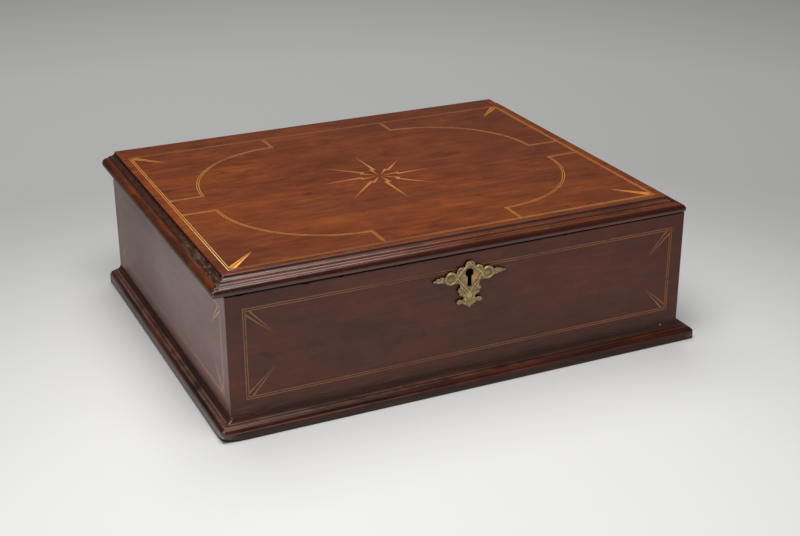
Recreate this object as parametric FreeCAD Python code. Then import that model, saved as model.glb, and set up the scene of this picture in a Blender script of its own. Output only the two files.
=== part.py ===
import FreeCAD, Part
import math
import os

from FreeCAD import Vector

# A table-top box for letters: a mitred case with a moulded base, a hinged lid with a moulded edge,
# a box lock in the front, stringing on the faces, and a long drawer that pulls out of the right end,
# under the letter well.
# Millimetres. +X to the right end, +Y to the back, +Z up. The origin is on the ground, under the middle.

# Case
case_width = 430.0
case_depth = 346.0
case_height = 122.0  # the walls' top edge above the ground
wall = 13.0
bottom_thickness = 10.0
corner_radius = 0.9  # softened upright corners
spline_thickness = 2.5
spline_width = 10.0
spline_end_margin = 8.0

# Base moulding, measured outwards from the case and up from the ground
base_projection = 11.5
base_height = 17.2
base_face = 7.6  # plain upright face below the round
base_cove = 4.5
base_cove_sag = 1.3
base_ledge = 0.8  # flat top of the fillet between cove and round
base_quirk = 0.8  # upright step under the fillet
base_round_bulge = 1.5
base_toe = 0.8
base_nail_radius = 1.1
base_nail_bite = 8.0  # into the wall
base_nail_proud = 0.25
base_nail_inset = 18.0
base_nail_spacing = 100.0

# Lid
lid_gap = 1.0  # between the walls' top edge and the closed lid
lid_thickness = 12.7
lid_side_overhang = 5.1
lid_front_overhang = 0.5
lid_shift = -4.2  # the lid sits a little to the left
lid_margin = 7.2  # flat part of the moulding strips, inside their top edge
lid_edge_ease = 0.5

# Lid moulding, measured outwards from the flat's edge and up from the underside
lid_upright = 1.4  # upright face over the cove, with its eased edge
lid_cove_width = 4.8
lid_cove_height = 2.4
lid_cove_sag = 0.9
lid_ledge = 0.7  # flat top of the fillet between cove and slope
lid_quirk = 0.6  # upright step under the fillet
lid_slope_width = 1.7  # sloping band between the fillet and the nose
lid_slope_fall = 0.7
lid_nose_radius = 4.9
lid_nose_height = 2.4  # of the nose's tip
lid_projection = 12.9

# Stringing and inlay
string_width = 0.7
string_pitch = 1.9  # between the middles of the two lines of a pair
inlay_depth = 0.9
panel_inset = 13.2  # border from the upright corners
front_panel_shift = 0.8  # the front's border sits a little to the right
panel_base_margin = 12.3  # border above the base moulding
panel_top_margin = 12.0  # border below the walls' top edge
panel_dart_length = 33.0
dart_inner = 2.2  # where a dart's two slivers start along the border, from its inner corner
dart_outer = 4.3
dart_root_gap = 0.3  # bare wood between the slivers and the border
dart_tip_gap = 0.5  # and between the two slivers' tips
right_panel_margin = 6.0  # border above the drawer opening
right_dart_length = 18.0
drawer_panel_inset = 5.0
lid_border_back_inset = 25.6
lid_dart_length = 38.0
lid_dart_inner = 0.9
lid_dart_outer = 4.9
scallop_margin_x = 33.1  # from the border to the quarter rounds
scallop_margin_y = 28.6
scallop_half_gap = 19.0  # from the lid's middle line to the steps beside it
star_shift_x = -1.8  # the star's middle from the lid border's middle
star_shift_y = 1.2
star_reach = 60.0  # ray's length from the middle
star_ray_shares = (0.83, 0.8, 1.0, 1.0, 1.0, 1.1, 1.07, 0.92)  # hand-cut rays, round from the right
star_hollow = 2.8  # bare middle
star_barb = 18.0
star_overlap = 1.2
star_barb_width = 3.2

# Drawer and what it runs on
drawer_sill_rise = 1.0  # opening above the base moulding
drawer_stile = 6.0  # of the right side, between the opening and the inner faces
drawer_clearance = 0.5
drawer_side = 8.0
drawer_back_thickness = 8.0
drawer_front_lap = 5.0  # wood in front of the dovetails
drawer_tails = 2
tail_gap = 7.0  # between dovetails, at their tips
tail_flare = 1.6
drawer_side_drop = 3.0  # of the sides below the front's top edge
drawer_bottom_thickness = 4.0
drawer_bottom_rise = 4.0
drawer_groove = 3.5
drawer_partition_thickness = 6.0
drawer_housing = 2.0
runner_overlap = 15.0  # width of runner under a drawer side, past the guide
guide_height = 12.0
stop_length = 24.5  # from the left side to the closed drawer's end
stop_width = 14.0
stop_height = 20.0

# Knob
knob_reach = 10.5
knob_rose_radius = 7.0
knob_rose_thickness = 1.2
knob_neck_radius = 2.6
knob_head_radius = 5.2
knob_head_thickness = 5.6
knob_shank_radius = 2.0
knob_nut_radius = 4.6
knob_nut_thickness = 2.6
knob_nut_sides = 6
knob_shank_proud = 1.0

# Inside the case
letter_well_depth = 51.8  # from the walls' top edge down to the dust board
dust_board_thickness = 6.0
dust_board_rise = 2.0  # above the drawer opening
dust_board_groove = 3.0
till_partition_thickness = 6.0
till_width = 78.0
till_partition_height = 32.0
till_housing = 2.0
ink_pocket_length = 62.0

# Locking pin of the drawer
pin_radius = 2.0
pin_fit = 0.05
pin_engagement = 6.0  # how far it drops past the top of the drawer's partition
pin_tip_setback = 0.5
pin_head_radius = 4.4
pin_head_height = 4.0
pin_play = 0.4  # between the dropped pin and the drawer's partition
pin_from_till_side = 13.0
pin_from_ink_pocket = 24.0

# Hinges
hinge_length = 40.0
hinge_spread = 260.0  # between the two hinges' middles
leaf_margin = 2.0  # wood left inside a leaf
leaf_thickness = 1.5
barrel_radius = 2.3
barrel_clearance = 0.4
hinge_pin_radius = 1.1
hinge_pin_fit = 0.05
knuckles = 5
knuckle_gap = 0.2
leaf_screws = 3

# Wood screws
screw_radius = 1.3
screw_head_radius = 2.5
screw_length = 9.0
screw_slot_width = 0.5
screw_slot_depth = 0.5

# Lock
lock_offset = -1.8  # of the lock's middle from the case's middle
lock_box_width = 70.0
lock_plate_width = 86.0
lock_height = 36.0
lock_cover = 4.0  # wood left in front of the lock
lock_sheet = 1.2
selvedge_thickness = 1.6
keyhole_drop = 17.0  # round part's middle below the walls' top edge
keyhole_radius = 3.5
keyhole_slot_width = 3.8
keyhole_slot_drop = 12.1
key_pin_radius = 1.3
key_pin_setback = 2.0
staple_thickness = 2.4
staple_drop = 10.6  # below the walls' top edge
staple_eye_low = 1.6
staple_eye_height = 5.8
staple_clearance = 0.6
staple_side_clearance = 0.4
link_plate_thickness = 1.5
link_screw_length = 5.5
bolt_thickness = 2.2
bolt_side_clearance = 0.3
bolt_travel = 5.0
bolt_end_clearance = 0.2  # from a tongue's root to its staple, locked
bolt_tongue_height = 4.6
bolt_box_clearance = 0.6  # from the drawn bolt's end to the lock's box
bolt_tongue_gap = 0.6
bolt_arm = 3.2
bolt_bar_height = 3.6
bolt_bar_rise = 1.2  # above the lock case's floor
talon_width = 5.0
talon_depth = 1.6
spring_strip = 0.4
spring_span = 26.0
spring_width = 2.0

# Escutcheon, measured from the middle of the keyhole's round part
escutcheon_thickness = 1.6
lozenge_top = 9.5
lozenge_bottom = 17.0
lozenge_half_width = 11.2
lozenge_shoulder = 1.5  # its widest level, below the keyhole's middle
lozenge_rim = 1.4
lozenge_rim_height = 0.7
crest_radius = 4.7
crest_rise = 6.6
shoulder_radius = 4.6
shoulder_out = 9.0
shoulder_rise = 1.8
wing_radius = 5.6
wing_out = 17.6
wing_drop = 2.4
leaf_reach = 34.6
leaf_half_height = 2.6
leaf_root_half_height = 3.9
pendant_half_width = 9.0
neck_half_width = 5.4
neck_bottom = 23.0
fringe_radius = 2.8
fringe_out = 8.0
fringe_drop = 14.6
foot_radius = 2.5
foot_out = 8.2
foot_drop = 25.4
tassel_radius = 3.4
tassel_drop = 27.2
escutcheon_pin_head = 2.9
escutcheon_pin_dome = 1.3
escutcheon_pin_radius = 0.9
escutcheon_pin_end = 0.8  # from its tip to the lock

# Cutters run past faces by this much
overshoot = 1.0

full_turn = 360.0  # degrees

# Worked out from the sizes above
half_width = case_width / 2
hinge_throw = barrel_radius + barrel_clearance  # barrel's axis behind the back
back_reach = hinge_throw + barrel_radius
case_front = base_projection - (base_projection + case_depth + back_reach) / 2
case_back = case_front + case_depth
inner_left = -half_width + wall
inner_right = half_width - wall
inner_front = case_front + wall
inner_back = case_back - wall
lid_low = case_height + lid_gap
lid_top = lid_low + lid_thickness
lid_left = -half_width - lid_side_overhang + lid_shift
lid_right = half_width + lid_side_overhang + lid_shift
lid_front = case_front - lid_front_overhang
flat_left = lid_left + lid_projection
flat_right = lid_right - lid_projection
flat_front = lid_front + lid_projection
border_left = flat_left + lid_margin
border_right = flat_right - lid_margin
border_front = flat_front + lid_margin
border_back = case_back - lid_border_back_inset
sill = base_height + drawer_sill_rise
dust_top = case_height - letter_well_depth
dust_low = dust_top - dust_board_thickness
head = dust_low - dust_board_rise
panel_low = base_height + panel_base_margin
panel_high = case_height - panel_top_margin
opening_front = inner_front + drawer_stile
opening_back = inner_back - drawer_stile
drawer_low = sill + drawer_clearance
drawer_high = head - drawer_clearance
drawer_near = opening_front + drawer_clearance
drawer_far = opening_back - drawer_clearance
drawer_inside_near = drawer_near + drawer_side
drawer_inside_far = drawer_far - drawer_side
drawer_tail_end = inner_left + stop_length + drawer_clearance
drawer_side_top = drawer_high - drawer_side_drop
drawer_floor = drawer_low + drawer_bottom_rise + drawer_bottom_thickness
drawer_middle = (drawer_near + drawer_far) / 2
drawer_mid_height = (drawer_low + drawer_high) / 2
till_left = inner_right - till_width - till_partition_thickness
till_top = dust_top + till_partition_height
ink_back = inner_front + ink_pocket_length
pin_x = till_left + till_partition_thickness + pin_from_till_side
pin_y = ink_back + till_partition_thickness + pin_from_ink_pocket
pin_rest_tip = dust_low + pin_tip_setback
pin_travel = pin_rest_tip - drawer_side_top + pin_engagement
hinge_y = case_back + hinge_throw
hinge_z = case_height + lid_gap / 2
keyhole_z = case_height - keyhole_drop
lock_low = case_height - lock_height
lock_face = case_front + lock_cover  # bottom of the lock's pocket
lock_left = lock_offset - lock_box_width / 2
lock_right = lock_offset + lock_box_width / 2
plate_left = lock_offset - lock_plate_width / 2
plate_right = lock_offset + lock_plate_width / 2
lock_middle_y = (lock_face + inner_front) / 2
leaf_width = wall - leaf_margin
staple_depth = inner_front - lock_face - 2 * (lock_sheet + staple_side_clearance)
staple_eye_width = bolt_thickness + 2 * bolt_side_clearance


# Building blocks


def block(x, y, z):
    """Box from three (low, high) pairs."""
    return Part.makeBox(x[1] - x[0], y[1] - y[0], z[1] - z[0], Vector(x[0], y[0], z[0]))


def prism(points, low, high):
    """Upright prism over a plan of (x, y) points."""
    ring = [Vector(x, y, low) for x, y in points]
    return Part.Face(Part.makePolygon(ring + ring[:1])).extrude(Vector(0, 0, high - low))


def rod(radius, start, end):
    return Part.makeCylinder(radius, (end - start).Length, start, end - start)


def fuse(first, *others):
    return first.fuse(list(others)).removeSplitter() if others else first


def cut(solid, tools):
    """The solid less all the tools."""
    return solid.cut(list(tools)) if tools else solid


def bulge(start, end, sag):
    """Middle point of an arc that leaves its chord by sag, to the left of start towards end."""
    dx, dy = end[0] - start[0], end[1] - start[1]
    length = math.hypot(dx, dy)
    return ((start[0] + end[0] - 2 * sag * dy / length) / 2, (start[1] + end[1] + 2 * sag * dx / length) / 2)


def outline(start, steps, place):
    """Face inside a closed line: a step is an end point, or a pair of points for an arc through the first."""
    edges = []
    here = start
    for step in list(steps) + [start]:
        if isinstance(step[0], tuple):
            middle, there = step
            edges.append(Part.Arc(place(here), place(middle), place(there)).toShape())
        else:
            there = step
            edges.append(Part.LineSegment(place(here), place(there)).toShape())
        here = there
    return Part.Face(Part.Wire(edges))


def facing(origin, right, up):
    """Placement that lays drawings on a face: X along right, Y along up, Z out of the face."""
    out = right.cross(up)
    return FreeCAD.Placement(
        FreeCAD.Matrix(
            right.x, up.x, out.x, origin.x,
            right.y, up.y, out.y, origin.y,
            right.z, up.z, out.z, origin.z,
            0, 0, 0, 1,
        )
    )  # fmt: skip


def laid(shapes, placement):
    """Copies of shapes drawn on the XY plane, laid on a face."""
    return [shape.transformed(placement.toMatrix()) for shape in shapes]


def screw(point, inward, length):
    """Countersunk wood screw with its head flush at point, without its slot."""
    neck = screw_head_radius - screw_radius
    cone = Part.makeCone(screw_head_radius, screw_radius, neck, point, inward)
    return fuse(cone, rod(screw_radius, point + inward * neck, point + inward * length))


def slotted(shape, point, inward, along):
    """The screw with a driver's slot across its head."""
    reach = along * screw_head_radius
    across = inward.cross(along) * (screw_slot_width / 2)
    ring = [point + reach + across, point - reach + across, point - reach - across, point + reach - across]
    return shape.cut(Part.Face(Part.makePolygon(ring + ring[:1])).extrude(inward * screw_slot_depth))


# Where screws go: lists of (point, inward direction, length)


def hinge_middles():
    return (-hinge_spread / 2, hinge_spread / 2)


def leaf_screw_places(z, inward):
    pitch = hinge_length / leaf_screws
    y = case_back - leaf_width / 2
    return [
        (Vector(middle + (i - (leaf_screws - 1) / 2) * pitch, y, z), inward, screw_length)
        for middle in hinge_middles()
        for i in range(leaf_screws)
    ]


def case_hinge_screw_places():
    return leaf_screw_places(case_height, Vector(0, 0, -1))


def lid_hinge_screw_places():
    return leaf_screw_places(lid_low, Vector(0, 0, 1))


def flange_middles():
    flange = (lock_plate_width - lock_box_width) / 4
    return (plate_left + flange, plate_right - flange)


def lock_screw_places():
    rise = lock_height / 4
    return [
        (Vector(x, inner_front, z), Vector(0, -1, 0), screw_length)
        for x in flange_middles()
        for z in (lock_low + rise, case_height - rise)
    ]


def link_screw_places():
    return [(Vector(x, lock_middle_y, lid_low), Vector(0, 0, 1), link_screw_length) for x in flange_middles()]


def screws_at(places):
    return [screw(*place) for place in places]


def screw_group(places, along):
    """Separate slotted screws, as one group."""
    group = [slotted(screw(*place), place[0], place[1], along) for place in places]
    return Part.makeCompound(group)


# Inlay, drawn flat on the XY plane with its top at Z = 0


def strip(points):
    """Inlay over a closed line of points."""
    return prism(points, -inlay_depth, 0)


def frame(left, right, low, high, width):
    """Rectangular ring of the given line width, measured to its outer edge."""
    outer = block((left, right), (low, high), (-inlay_depth, 0))
    z = (-inlay_depth - overshoot, overshoot)
    inner = block((left + width, right - width), (low + width, high - width), z)
    return outer.cut(inner)


def double_border(left, right, low, high):
    """Two thin lines round a rectangle, given by its outer edge."""
    return [
        frame(left + inset, right - inset, low + inset, high - inset, string_width)
        for inset in (0, string_pitch)
    ]


def border_thickness():
    return string_pitch + string_width


def darts(left, right, low, high, length, inner, outer):
    """Pairs of slivers that run from each inner corner of a double border to a point on its diagonal."""
    inset = border_thickness()
    root = inset + dart_root_gap
    reach = inset + length / math.sqrt(2)
    half_gap = dart_tip_gap / 2
    sliver = [(inset + inner, root), (inset + outer, root), (reach + half_gap, reach - half_gap)]
    slivers = []
    for x, sx in ((left, 1), (right, -1)):
        for y, sy in ((low, 1), (high, -1)):
            slivers.append(strip([(x + sx * along, y + sy * across) for along, across in sliver]))
            slivers.append(strip([(x + sx * across, y + sy * along) for along, across in sliver]))
    return slivers


def scallop_line(side):
    """One line of a corner's pair where x and y are positive: side is 1 outside, -1 inside."""
    offset = side * string_pitch / 2
    half = string_width / 2
    half_x, half_y = lid_panel()[1], lid_panel()[3]
    middle_radius = half_y - scallop_margin_y - scallop_half_gap
    gap_x, gap_y = half_x - scallop_margin_x - middle_radius, scallop_half_gap
    radius = middle_radius + offset
    limit_x, limit_y = half_x - border_thickness(), half_y - border_thickness()
    centre = Vector(gap_x, gap_y, -inlay_depth)
    ring = Part.makeCylinder(radius + half, inlay_depth, centre).cut(
        Part.makeCylinder(radius - half, inlay_depth, centre)
    )
    low_x, low_y = gap_x + offset - half, gap_y + offset - half
    arc = ring.common(block((low_x, limit_x), (low_y, limit_y), (-inlay_depth, 0)))
    depth = (-inlay_depth, 0)
    step_x = block((gap_x + radius - half, limit_x), (low_y, low_y + string_width), depth)
    step_y = block((low_x, low_x + string_width), (gap_y + radius - half, limit_y), depth)
    return fuse(arc, step_x, step_y)


def mirrored(shape, flip_x, flip_y):
    for flip, normal in ((flip_x, Vector(1, 0, 0)), (flip_y, Vector(0, 1, 0))):
        shape = shape.mirror(Vector(0, 0, 0), normal) if flip else shape
    return shape


def scallops():
    lines = [scallop_line(side) for side in (1, -1)]
    return [mirrored(line, fx, fy) for line in lines for fx in (False, True) for fy in (False, True)]


def star():
    """Rays of two offset slivers: one widens from the middle, the other narrows from a barb."""
    rays = []
    near, far = star_barb - star_overlap, star_barb + star_overlap
    inner = strip([(star_hollow, 0), (far, 0), (far, star_barb_width)])
    for i, share in enumerate(star_ray_shares):
        outer = strip([(near, -star_barb_width), (star_reach * share, 0), (near, 0)])
        ray = fuse(inner, outer)
        ray.rotate(Vector(0, 0, 0), Vector(0, 0, 1), full_turn * i / len(star_ray_shares))
        ray.translate(Vector(star_shift_x, star_shift_y, 0))
        rays.append(ray)
    return rays


# Inlay laid on its faces


def on_front(shapes):
    return laid(shapes, facing(Vector(0, case_front, 0), Vector(1, 0, 0), Vector(0, 0, 1)))


def on_left(shapes):
    return laid(shapes, facing(Vector(-half_width, 0, 0), Vector(0, -1, 0), Vector(0, 0, 1)))


def on_right(shapes):
    return laid(shapes, facing(Vector(half_width, 0, 0), Vector(0, 1, 0), Vector(0, 0, 1)))


def on_lid(shapes):
    middle = Vector((border_left + border_right) / 2, (border_front + border_back) / 2, lid_top)
    return laid(shapes, facing(middle, Vector(1, 0, 0), Vector(0, 1, 0)))


def front_panel():
    left, right = -half_width + panel_inset, half_width - panel_inset
    return (left + front_panel_shift, right + front_panel_shift, panel_low, panel_high)


def left_panel():
    return (-case_back + panel_inset, -case_front - panel_inset, panel_low, panel_high)


def right_panel():
    return (case_front + panel_inset, case_back - panel_inset, head + right_panel_margin, panel_high)


def drawer_panel():
    inset = drawer_panel_inset
    return (drawer_near + inset, drawer_far - inset, drawer_low + inset, drawer_high - inset)


def lid_panel():
    half_x = (border_right - border_left) / 2
    half_y = (border_back - border_front) / 2
    return (-half_x, half_x, -half_y, half_y)


def panel_darts(panel, length):
    return darts(*panel, length, dart_inner, dart_outer)


def make_front_border():
    lines = on_front(double_border(*front_panel()))
    return [line.cut(front_keyhole()) for line in lines]


def make_front_darts():
    return on_front(panel_darts(front_panel(), panel_dart_length))


def make_left_border():
    return on_left(double_border(*left_panel()))


def make_left_darts():
    return on_left(panel_darts(left_panel(), panel_dart_length))


def make_right_border():
    return on_right(double_border(*right_panel()))


def make_right_darts():
    return on_right(panel_darts(right_panel(), right_dart_length))


def make_drawer_border():
    return on_right(double_border(*drawer_panel()))


def make_lid_border():
    return on_lid(double_border(*lid_panel()))


def make_lid_darts():
    return on_lid(darts(*lid_panel(), lid_dart_length, lid_dart_inner, lid_dart_outer))


def make_lid_scallops():
    return on_lid(scallops())


def make_lid_star():
    return on_lid(star())


# Case


def wall_plan(side):
    """Mitred plan of one wall."""
    left, right, near, far = -half_width, half_width, case_front, case_back
    plans = {
        "front": [(left, near), (right, near), (inner_right, inner_front), (inner_left, inner_front)],
        "back": [(left, far), (right, far), (inner_right, inner_back), (inner_left, inner_back)],
        "left": [(left, near), (left, far), (inner_left, inner_back), (inner_left, inner_front)],
        "right": [(right, near), (right, far), (inner_right, inner_back), (inner_right, inner_front)],
    }
    return plans[side]


def corner_envelope():
    """The case's outside with its upright corners softened."""
    box = block((-half_width, half_width), (case_front, case_back), (0, case_height))
    uprights = [edge for edge in box.Edges if abs(edge.Vertexes[0].Z - edge.Vertexes[1].Z) > case_height / 2]
    return box.makeFillet(corner_radius, uprights)


def corner_splines():
    """Four strips that key the mitres, each across its corner's diagonal."""
    strips = []
    for x, sx in ((-half_width, 1), (half_width, -1)):
        for y, sy in ((case_front, 1), (case_back, -1)):
            middle = Vector(x + sx * wall / 2, y + sy * wall / 2, 0)
            along = Vector(sx, -sy, 0).normalize() * (spline_width / 2)
            across = Vector(sx, sy, 0).normalize() * (spline_thickness / 2)
            near, far = middle - across, middle + across
            ring = [far + along, far - along, near - along, near + along]
            low = bottom_thickness + spline_end_margin
            high = case_height - spline_end_margin
            strips.append(prism([(p.x, p.y) for p in ring], low, high))
    return strips


def dust_board_plan():
    g = dust_board_groove
    return (inner_left - g, inner_right + g), (inner_front - g, inner_back + g)


def make_dust_board():
    x, y = dust_board_plan()
    board = block(x, y, (dust_low, dust_top))
    hole = rod(pin_radius + pin_fit, Vector(pin_x, pin_y, dust_low), Vector(pin_x, pin_y, dust_top))
    return board.cut(hole)


def dust_board_grooves():
    x, y = dust_board_plan()
    return block(x, y, (dust_low, dust_top))


def make_till_partition():
    x = (till_left, till_left + till_partition_thickness)
    board = block(x, (inner_front - till_housing, inner_back + till_housing), (dust_top, till_top))
    return board.cut(make_cross_partition())


def make_cross_partition():
    x = (till_left + till_partition_thickness - till_housing, inner_right + till_housing)
    return block(x, (ink_back, ink_back + till_partition_thickness), (dust_top, till_top))


def till_partition_blank():
    x = (till_left, till_left + till_partition_thickness)
    return block(x, (inner_front - till_housing, inner_back + till_housing), (dust_top, till_top))


def keyhole(near, far):
    """Keyhole cutter between two distances from the back of the front."""
    middle = Vector(lock_offset, near, keyhole_z)
    half = keyhole_slot_width / 2
    slot = block(
        (lock_offset - half, lock_offset + half), (near, far), (keyhole_z - keyhole_slot_drop, keyhole_z)
    )
    return fuse(rod(keyhole_radius, middle, Vector(lock_offset, far, keyhole_z)), slot)


def front_keyhole():
    return keyhole(case_front - overshoot, lock_face)


def lock_pocket():
    box = block((lock_left, lock_right), (lock_face, inner_front), (lock_low, case_height))
    plate = block((plate_left, plate_right), (inner_front - lock_sheet, inner_front), (lock_low, case_height))
    selvedge = block(
        (plate_left, plate_right), (lock_face, inner_front), (case_height - selvedge_thickness, case_height)
    )
    return fuse(box, plate, selvedge)


def make_front_board():
    board = prism(wall_plan("front"), bottom_thickness, case_height).common(corner_envelope())
    tools = [lock_pocket(), front_keyhole(), dust_board_grooves(), till_partition_blank()]
    tools += corner_splines() + screws_at(lock_screw_places())
    tools += make_front_border() + make_front_darts() + base_nails("front")
    tools += [escutcheon_pin_shank(s) for s in (-1, 1)]
    return cut(board, tools)


def leaf_pocket(low, high):
    """Mortises for one leaf of each hinge."""
    half = hinge_length / 2
    y = (case_back - leaf_width, case_back + overshoot)
    return [block((middle - half, middle + half), y, (low, high)) for middle in hinge_middles()]


def make_back_board():
    board = prism(wall_plan("back"), bottom_thickness, case_height).common(corner_envelope())
    tools = [dust_board_grooves(), till_partition_blank()] + corner_splines()
    tools += leaf_pocket(case_height - leaf_thickness, case_height) + screws_at(case_hinge_screw_places())
    return cut(board, tools)


def make_left_side():
    board = prism(wall_plan("left"), bottom_thickness, case_height).common(corner_envelope())
    tools = [dust_board_grooves()] + corner_splines() + base_nails("left")
    tools += make_left_border() + make_left_darts()
    return cut(board, tools)


def make_right_side():
    board = prism(wall_plan("right"), bottom_thickness, case_height).common(corner_envelope())
    x = (inner_right - overshoot, half_width + overshoot)
    opening = block(x, (opening_front, opening_back), (sill, head))
    tools = [opening, dust_board_grooves(), make_cross_partition()]
    tools += corner_splines() + make_right_border() + make_right_darts() + base_nails("right")
    return cut(board, tools)


def make_bottom_board():
    board = block((-half_width, half_width), (case_front, case_back), (0, bottom_thickness))
    return board.common(corner_envelope())


# Mouldings


def base_section():
    """Base moulding's section: foot, upright face, round, fillet and cove."""
    ledge_end = base_cove + base_ledge
    round_low = (base_projection, base_face)
    round_high = (ledge_end, base_height - base_cove - base_quirk)
    cove_low = (base_cove, base_height - base_cove)
    cove_high = (0.0, base_height)
    steps = [
        (base_projection - base_toe, 0.0),
        (base_projection, base_toe),
        round_low,
        (bulge(round_low, round_high, -base_round_bulge), round_high),
        (ledge_end, cove_low[1]),
        cove_low,
        (bulge(cove_low, cove_high, base_cove_sag), cove_high),
    ]
    return (0.0, 0.0), steps


def lid_section():
    """Lid moulding's section: flat margin, eased edge, cove, fillet, slope and round nose."""
    centre = lid_projection - lid_nose_radius
    nose_low = (centre + math.sqrt(lid_nose_radius**2 - lid_nose_height**2), 0.0)
    ledge_end = lid_cove_width + lid_ledge
    nose_start = ledge_end + lid_slope_width
    nose_high = (nose_start, lid_nose_height + math.sqrt(lid_nose_radius**2 - (centre - nose_start) ** 2))
    cove_high = (0.0, lid_thickness - lid_upright)
    cove_low = (lid_cove_width, cove_high[1] - lid_cove_height)
    slope_high = (ledge_end, cove_low[1] - lid_quirk)
    upright_high = (0.0, lid_thickness - lid_edge_ease)
    edge = (-lid_edge_ease, lid_thickness)
    steps = [
        nose_low,
        ((lid_projection, lid_nose_height), nose_high),
        (nose_start, slope_high[1] - lid_slope_fall),
        slope_high,
        (ledge_end, cove_low[1]),
        cove_low,
        (bulge(cove_low, cove_high, lid_cove_sag), cove_high),
        upright_high,
        (bulge(upright_high, edge, -lid_edge_ease / 4), edge),
        (-lid_margin, lid_thickness),
    ]
    return (-lid_margin, 0.0), steps


def mitred_strip(section, side, box, low, inside, outside):
    """Moulding along one side of a (left, right, front, back) box.

    It is mitred at the front and square at the back. inside and outside: how far it may reach from the edge.
    """
    left, right, front, back = box
    i, o = inside, outside
    tip_left, tip_right = (left - o, front - o), (right + o, front - o)
    root_left, root_right = (left + i, front + i), (right - i, front + i)
    places = {
        "front": lambda p: Vector(left - o, front - p[0], low + p[1]),
        "left": lambda p: Vector(left - p[0], front - o, low + p[1]),
        "right": lambda p: Vector(right + p[0], front - o, low + p[1]),
    }
    runs = {
        "front": Vector(right - left + 2 * o, 0, 0),
        "left": Vector(0, back - front + o, 0),
        "right": Vector(0, back - front + o, 0),
    }
    plans = {
        "front": [tip_left, tip_right, root_right, root_left],
        "left": [tip_left, root_left, (left + i, back), (left - o, back)],
        "right": [tip_right, root_right, (right - i, back), (right + o, back)],
    }
    start, steps = section
    bar = outline(start, steps, places[side]).extrude(runs[side])
    return bar.common(prism(plans[side], low - overshoot, low + lid_thickness + base_height))


def nail_rows(side):
    """Distances of a base strip's nails along its wall."""
    low, high = (-half_width, half_width) if side == "front" else (case_front, case_back)
    low, high = low + base_nail_inset, high - base_nail_inset
    count = max(1, round((high - low) / base_nail_spacing))
    return [low + (high - low) * i / count for i in range(count + 1)]


def base_nails(side):
    """Nails driven level through the cove into the wall."""
    height = base_height - base_cove / 2
    reach = base_cove / 2 - math.sqrt(2) * base_cove_sag + base_nail_proud
    walls = {
        "front": lambda s, out: Vector(s, case_front - out, height),
        "left": lambda s, out: Vector(-half_width - out, s, height),
        "right": lambda s, out: Vector(half_width + out, s, height),
    }
    place = walls[side]
    return [rod(base_nail_radius, place(s, reach), place(s, -base_nail_bite)) for s in nail_rows(side)]


def make_base_moulding(side):
    box = (-half_width, half_width, case_front, case_back)
    strip_shape = mitred_strip(base_section(), side, box, 0.0, 0.0, base_projection)
    return cut(strip_shape, base_nails(side))


def make_base_nails():
    return Part.makeCompound([nail for side in ("front", "left", "right") for nail in base_nails(side)])


# Lid


def make_lid_board():
    board = block((border_left, border_right), (border_front, case_back), (lid_low, lid_top))
    tools = make_lid_border() + make_lid_darts() + make_lid_scallops() + make_lid_star()
    tools += leaf_pocket(lid_low, lid_low + leaf_thickness) + screws_at(lid_hinge_screw_places())
    return cut(board, tools)


def make_lid_moulding(side):
    box = (flat_left, flat_right, flat_front, case_back)
    strip_shape = mitred_strip(lid_section(), side, box, lid_low, lid_margin, lid_projection)
    tools = [link_plate_blank()] + screws_at(link_screw_places()) if side == "front" else []
    return cut(strip_shape, tools)


# Hinges


def knuckle_spans(middle, odd):
    """Spans of one leaf's knuckles along the barrel."""
    pitch = hinge_length / knuckles
    start = middle - hinge_length / 2
    return [(start + i * pitch, start + (i + 1) * pitch) for i in range(knuckles) if i % 2 == odd]


def barrel(span, radius, gap):
    ends = [Vector(x, hinge_y, hinge_z) for x in (span[0] + gap, span[1] - gap)]
    return rod(radius, *ends)


def leaf(middle, low, odd, screw_places):
    """One leaf: a plate let into the wood, with its knuckles round the pin."""
    x = (middle - hinge_length / 2, middle + hinge_length / 2)
    plate = block(x, (case_back - leaf_width, hinge_y), (low, low + leaf_thickness))
    other = knuckle_spans(middle, 1 - odd)
    plate = cut(plate, [barrel(s, barrel_radius + barrel_clearance / 2, -knuckle_gap / 2) for s in other])
    own = [barrel(s, barrel_radius, knuckle_gap / 2) for s in knuckle_spans(middle, odd)]
    bore = barrel(x, hinge_pin_radius + hinge_pin_fit, -knuckle_gap)
    return cut(fuse(plate, *own), [bore] + screws_at(screw_places))


def make_case_leaves():
    low = case_height - leaf_thickness
    return Part.makeCompound([leaf(m, low, 0, case_hinge_screw_places()) for m in hinge_middles()])


def make_lid_leaves():
    return Part.makeCompound([leaf(m, lid_low, 1, lid_hinge_screw_places()) for m in hinge_middles()])


def make_hinge_pins():
    half = hinge_length / 2
    return Part.makeCompound([barrel((m - half, m + half), hinge_pin_radius, 0) for m in hinge_middles()])


# Lock


def staple_middles():
    """The staples stand as far apart as the lock's box lets the bolt reach."""
    bolt_end = lock_box_width / 2 - lock_sheet - bolt_box_clearance
    tongue = bolt_travel + bolt_end_clearance + bolt_tongue_gap
    reach = bolt_end - bolt_arm - tongue - staple_thickness / 2
    return (lock_offset - reach, lock_offset + reach)


def staple_slot(middle):
    """Slot in the selvedge that a staple drops through."""
    half_x = staple_thickness / 2 + staple_clearance
    half_y = staple_depth / 2 + staple_clearance / 2
    x = (middle - half_x, middle + half_x)
    y = (lock_middle_y - half_y, lock_middle_y + half_y)
    return block(x, y, (case_height - selvedge_thickness - overshoot, case_height + overshoot))


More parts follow.
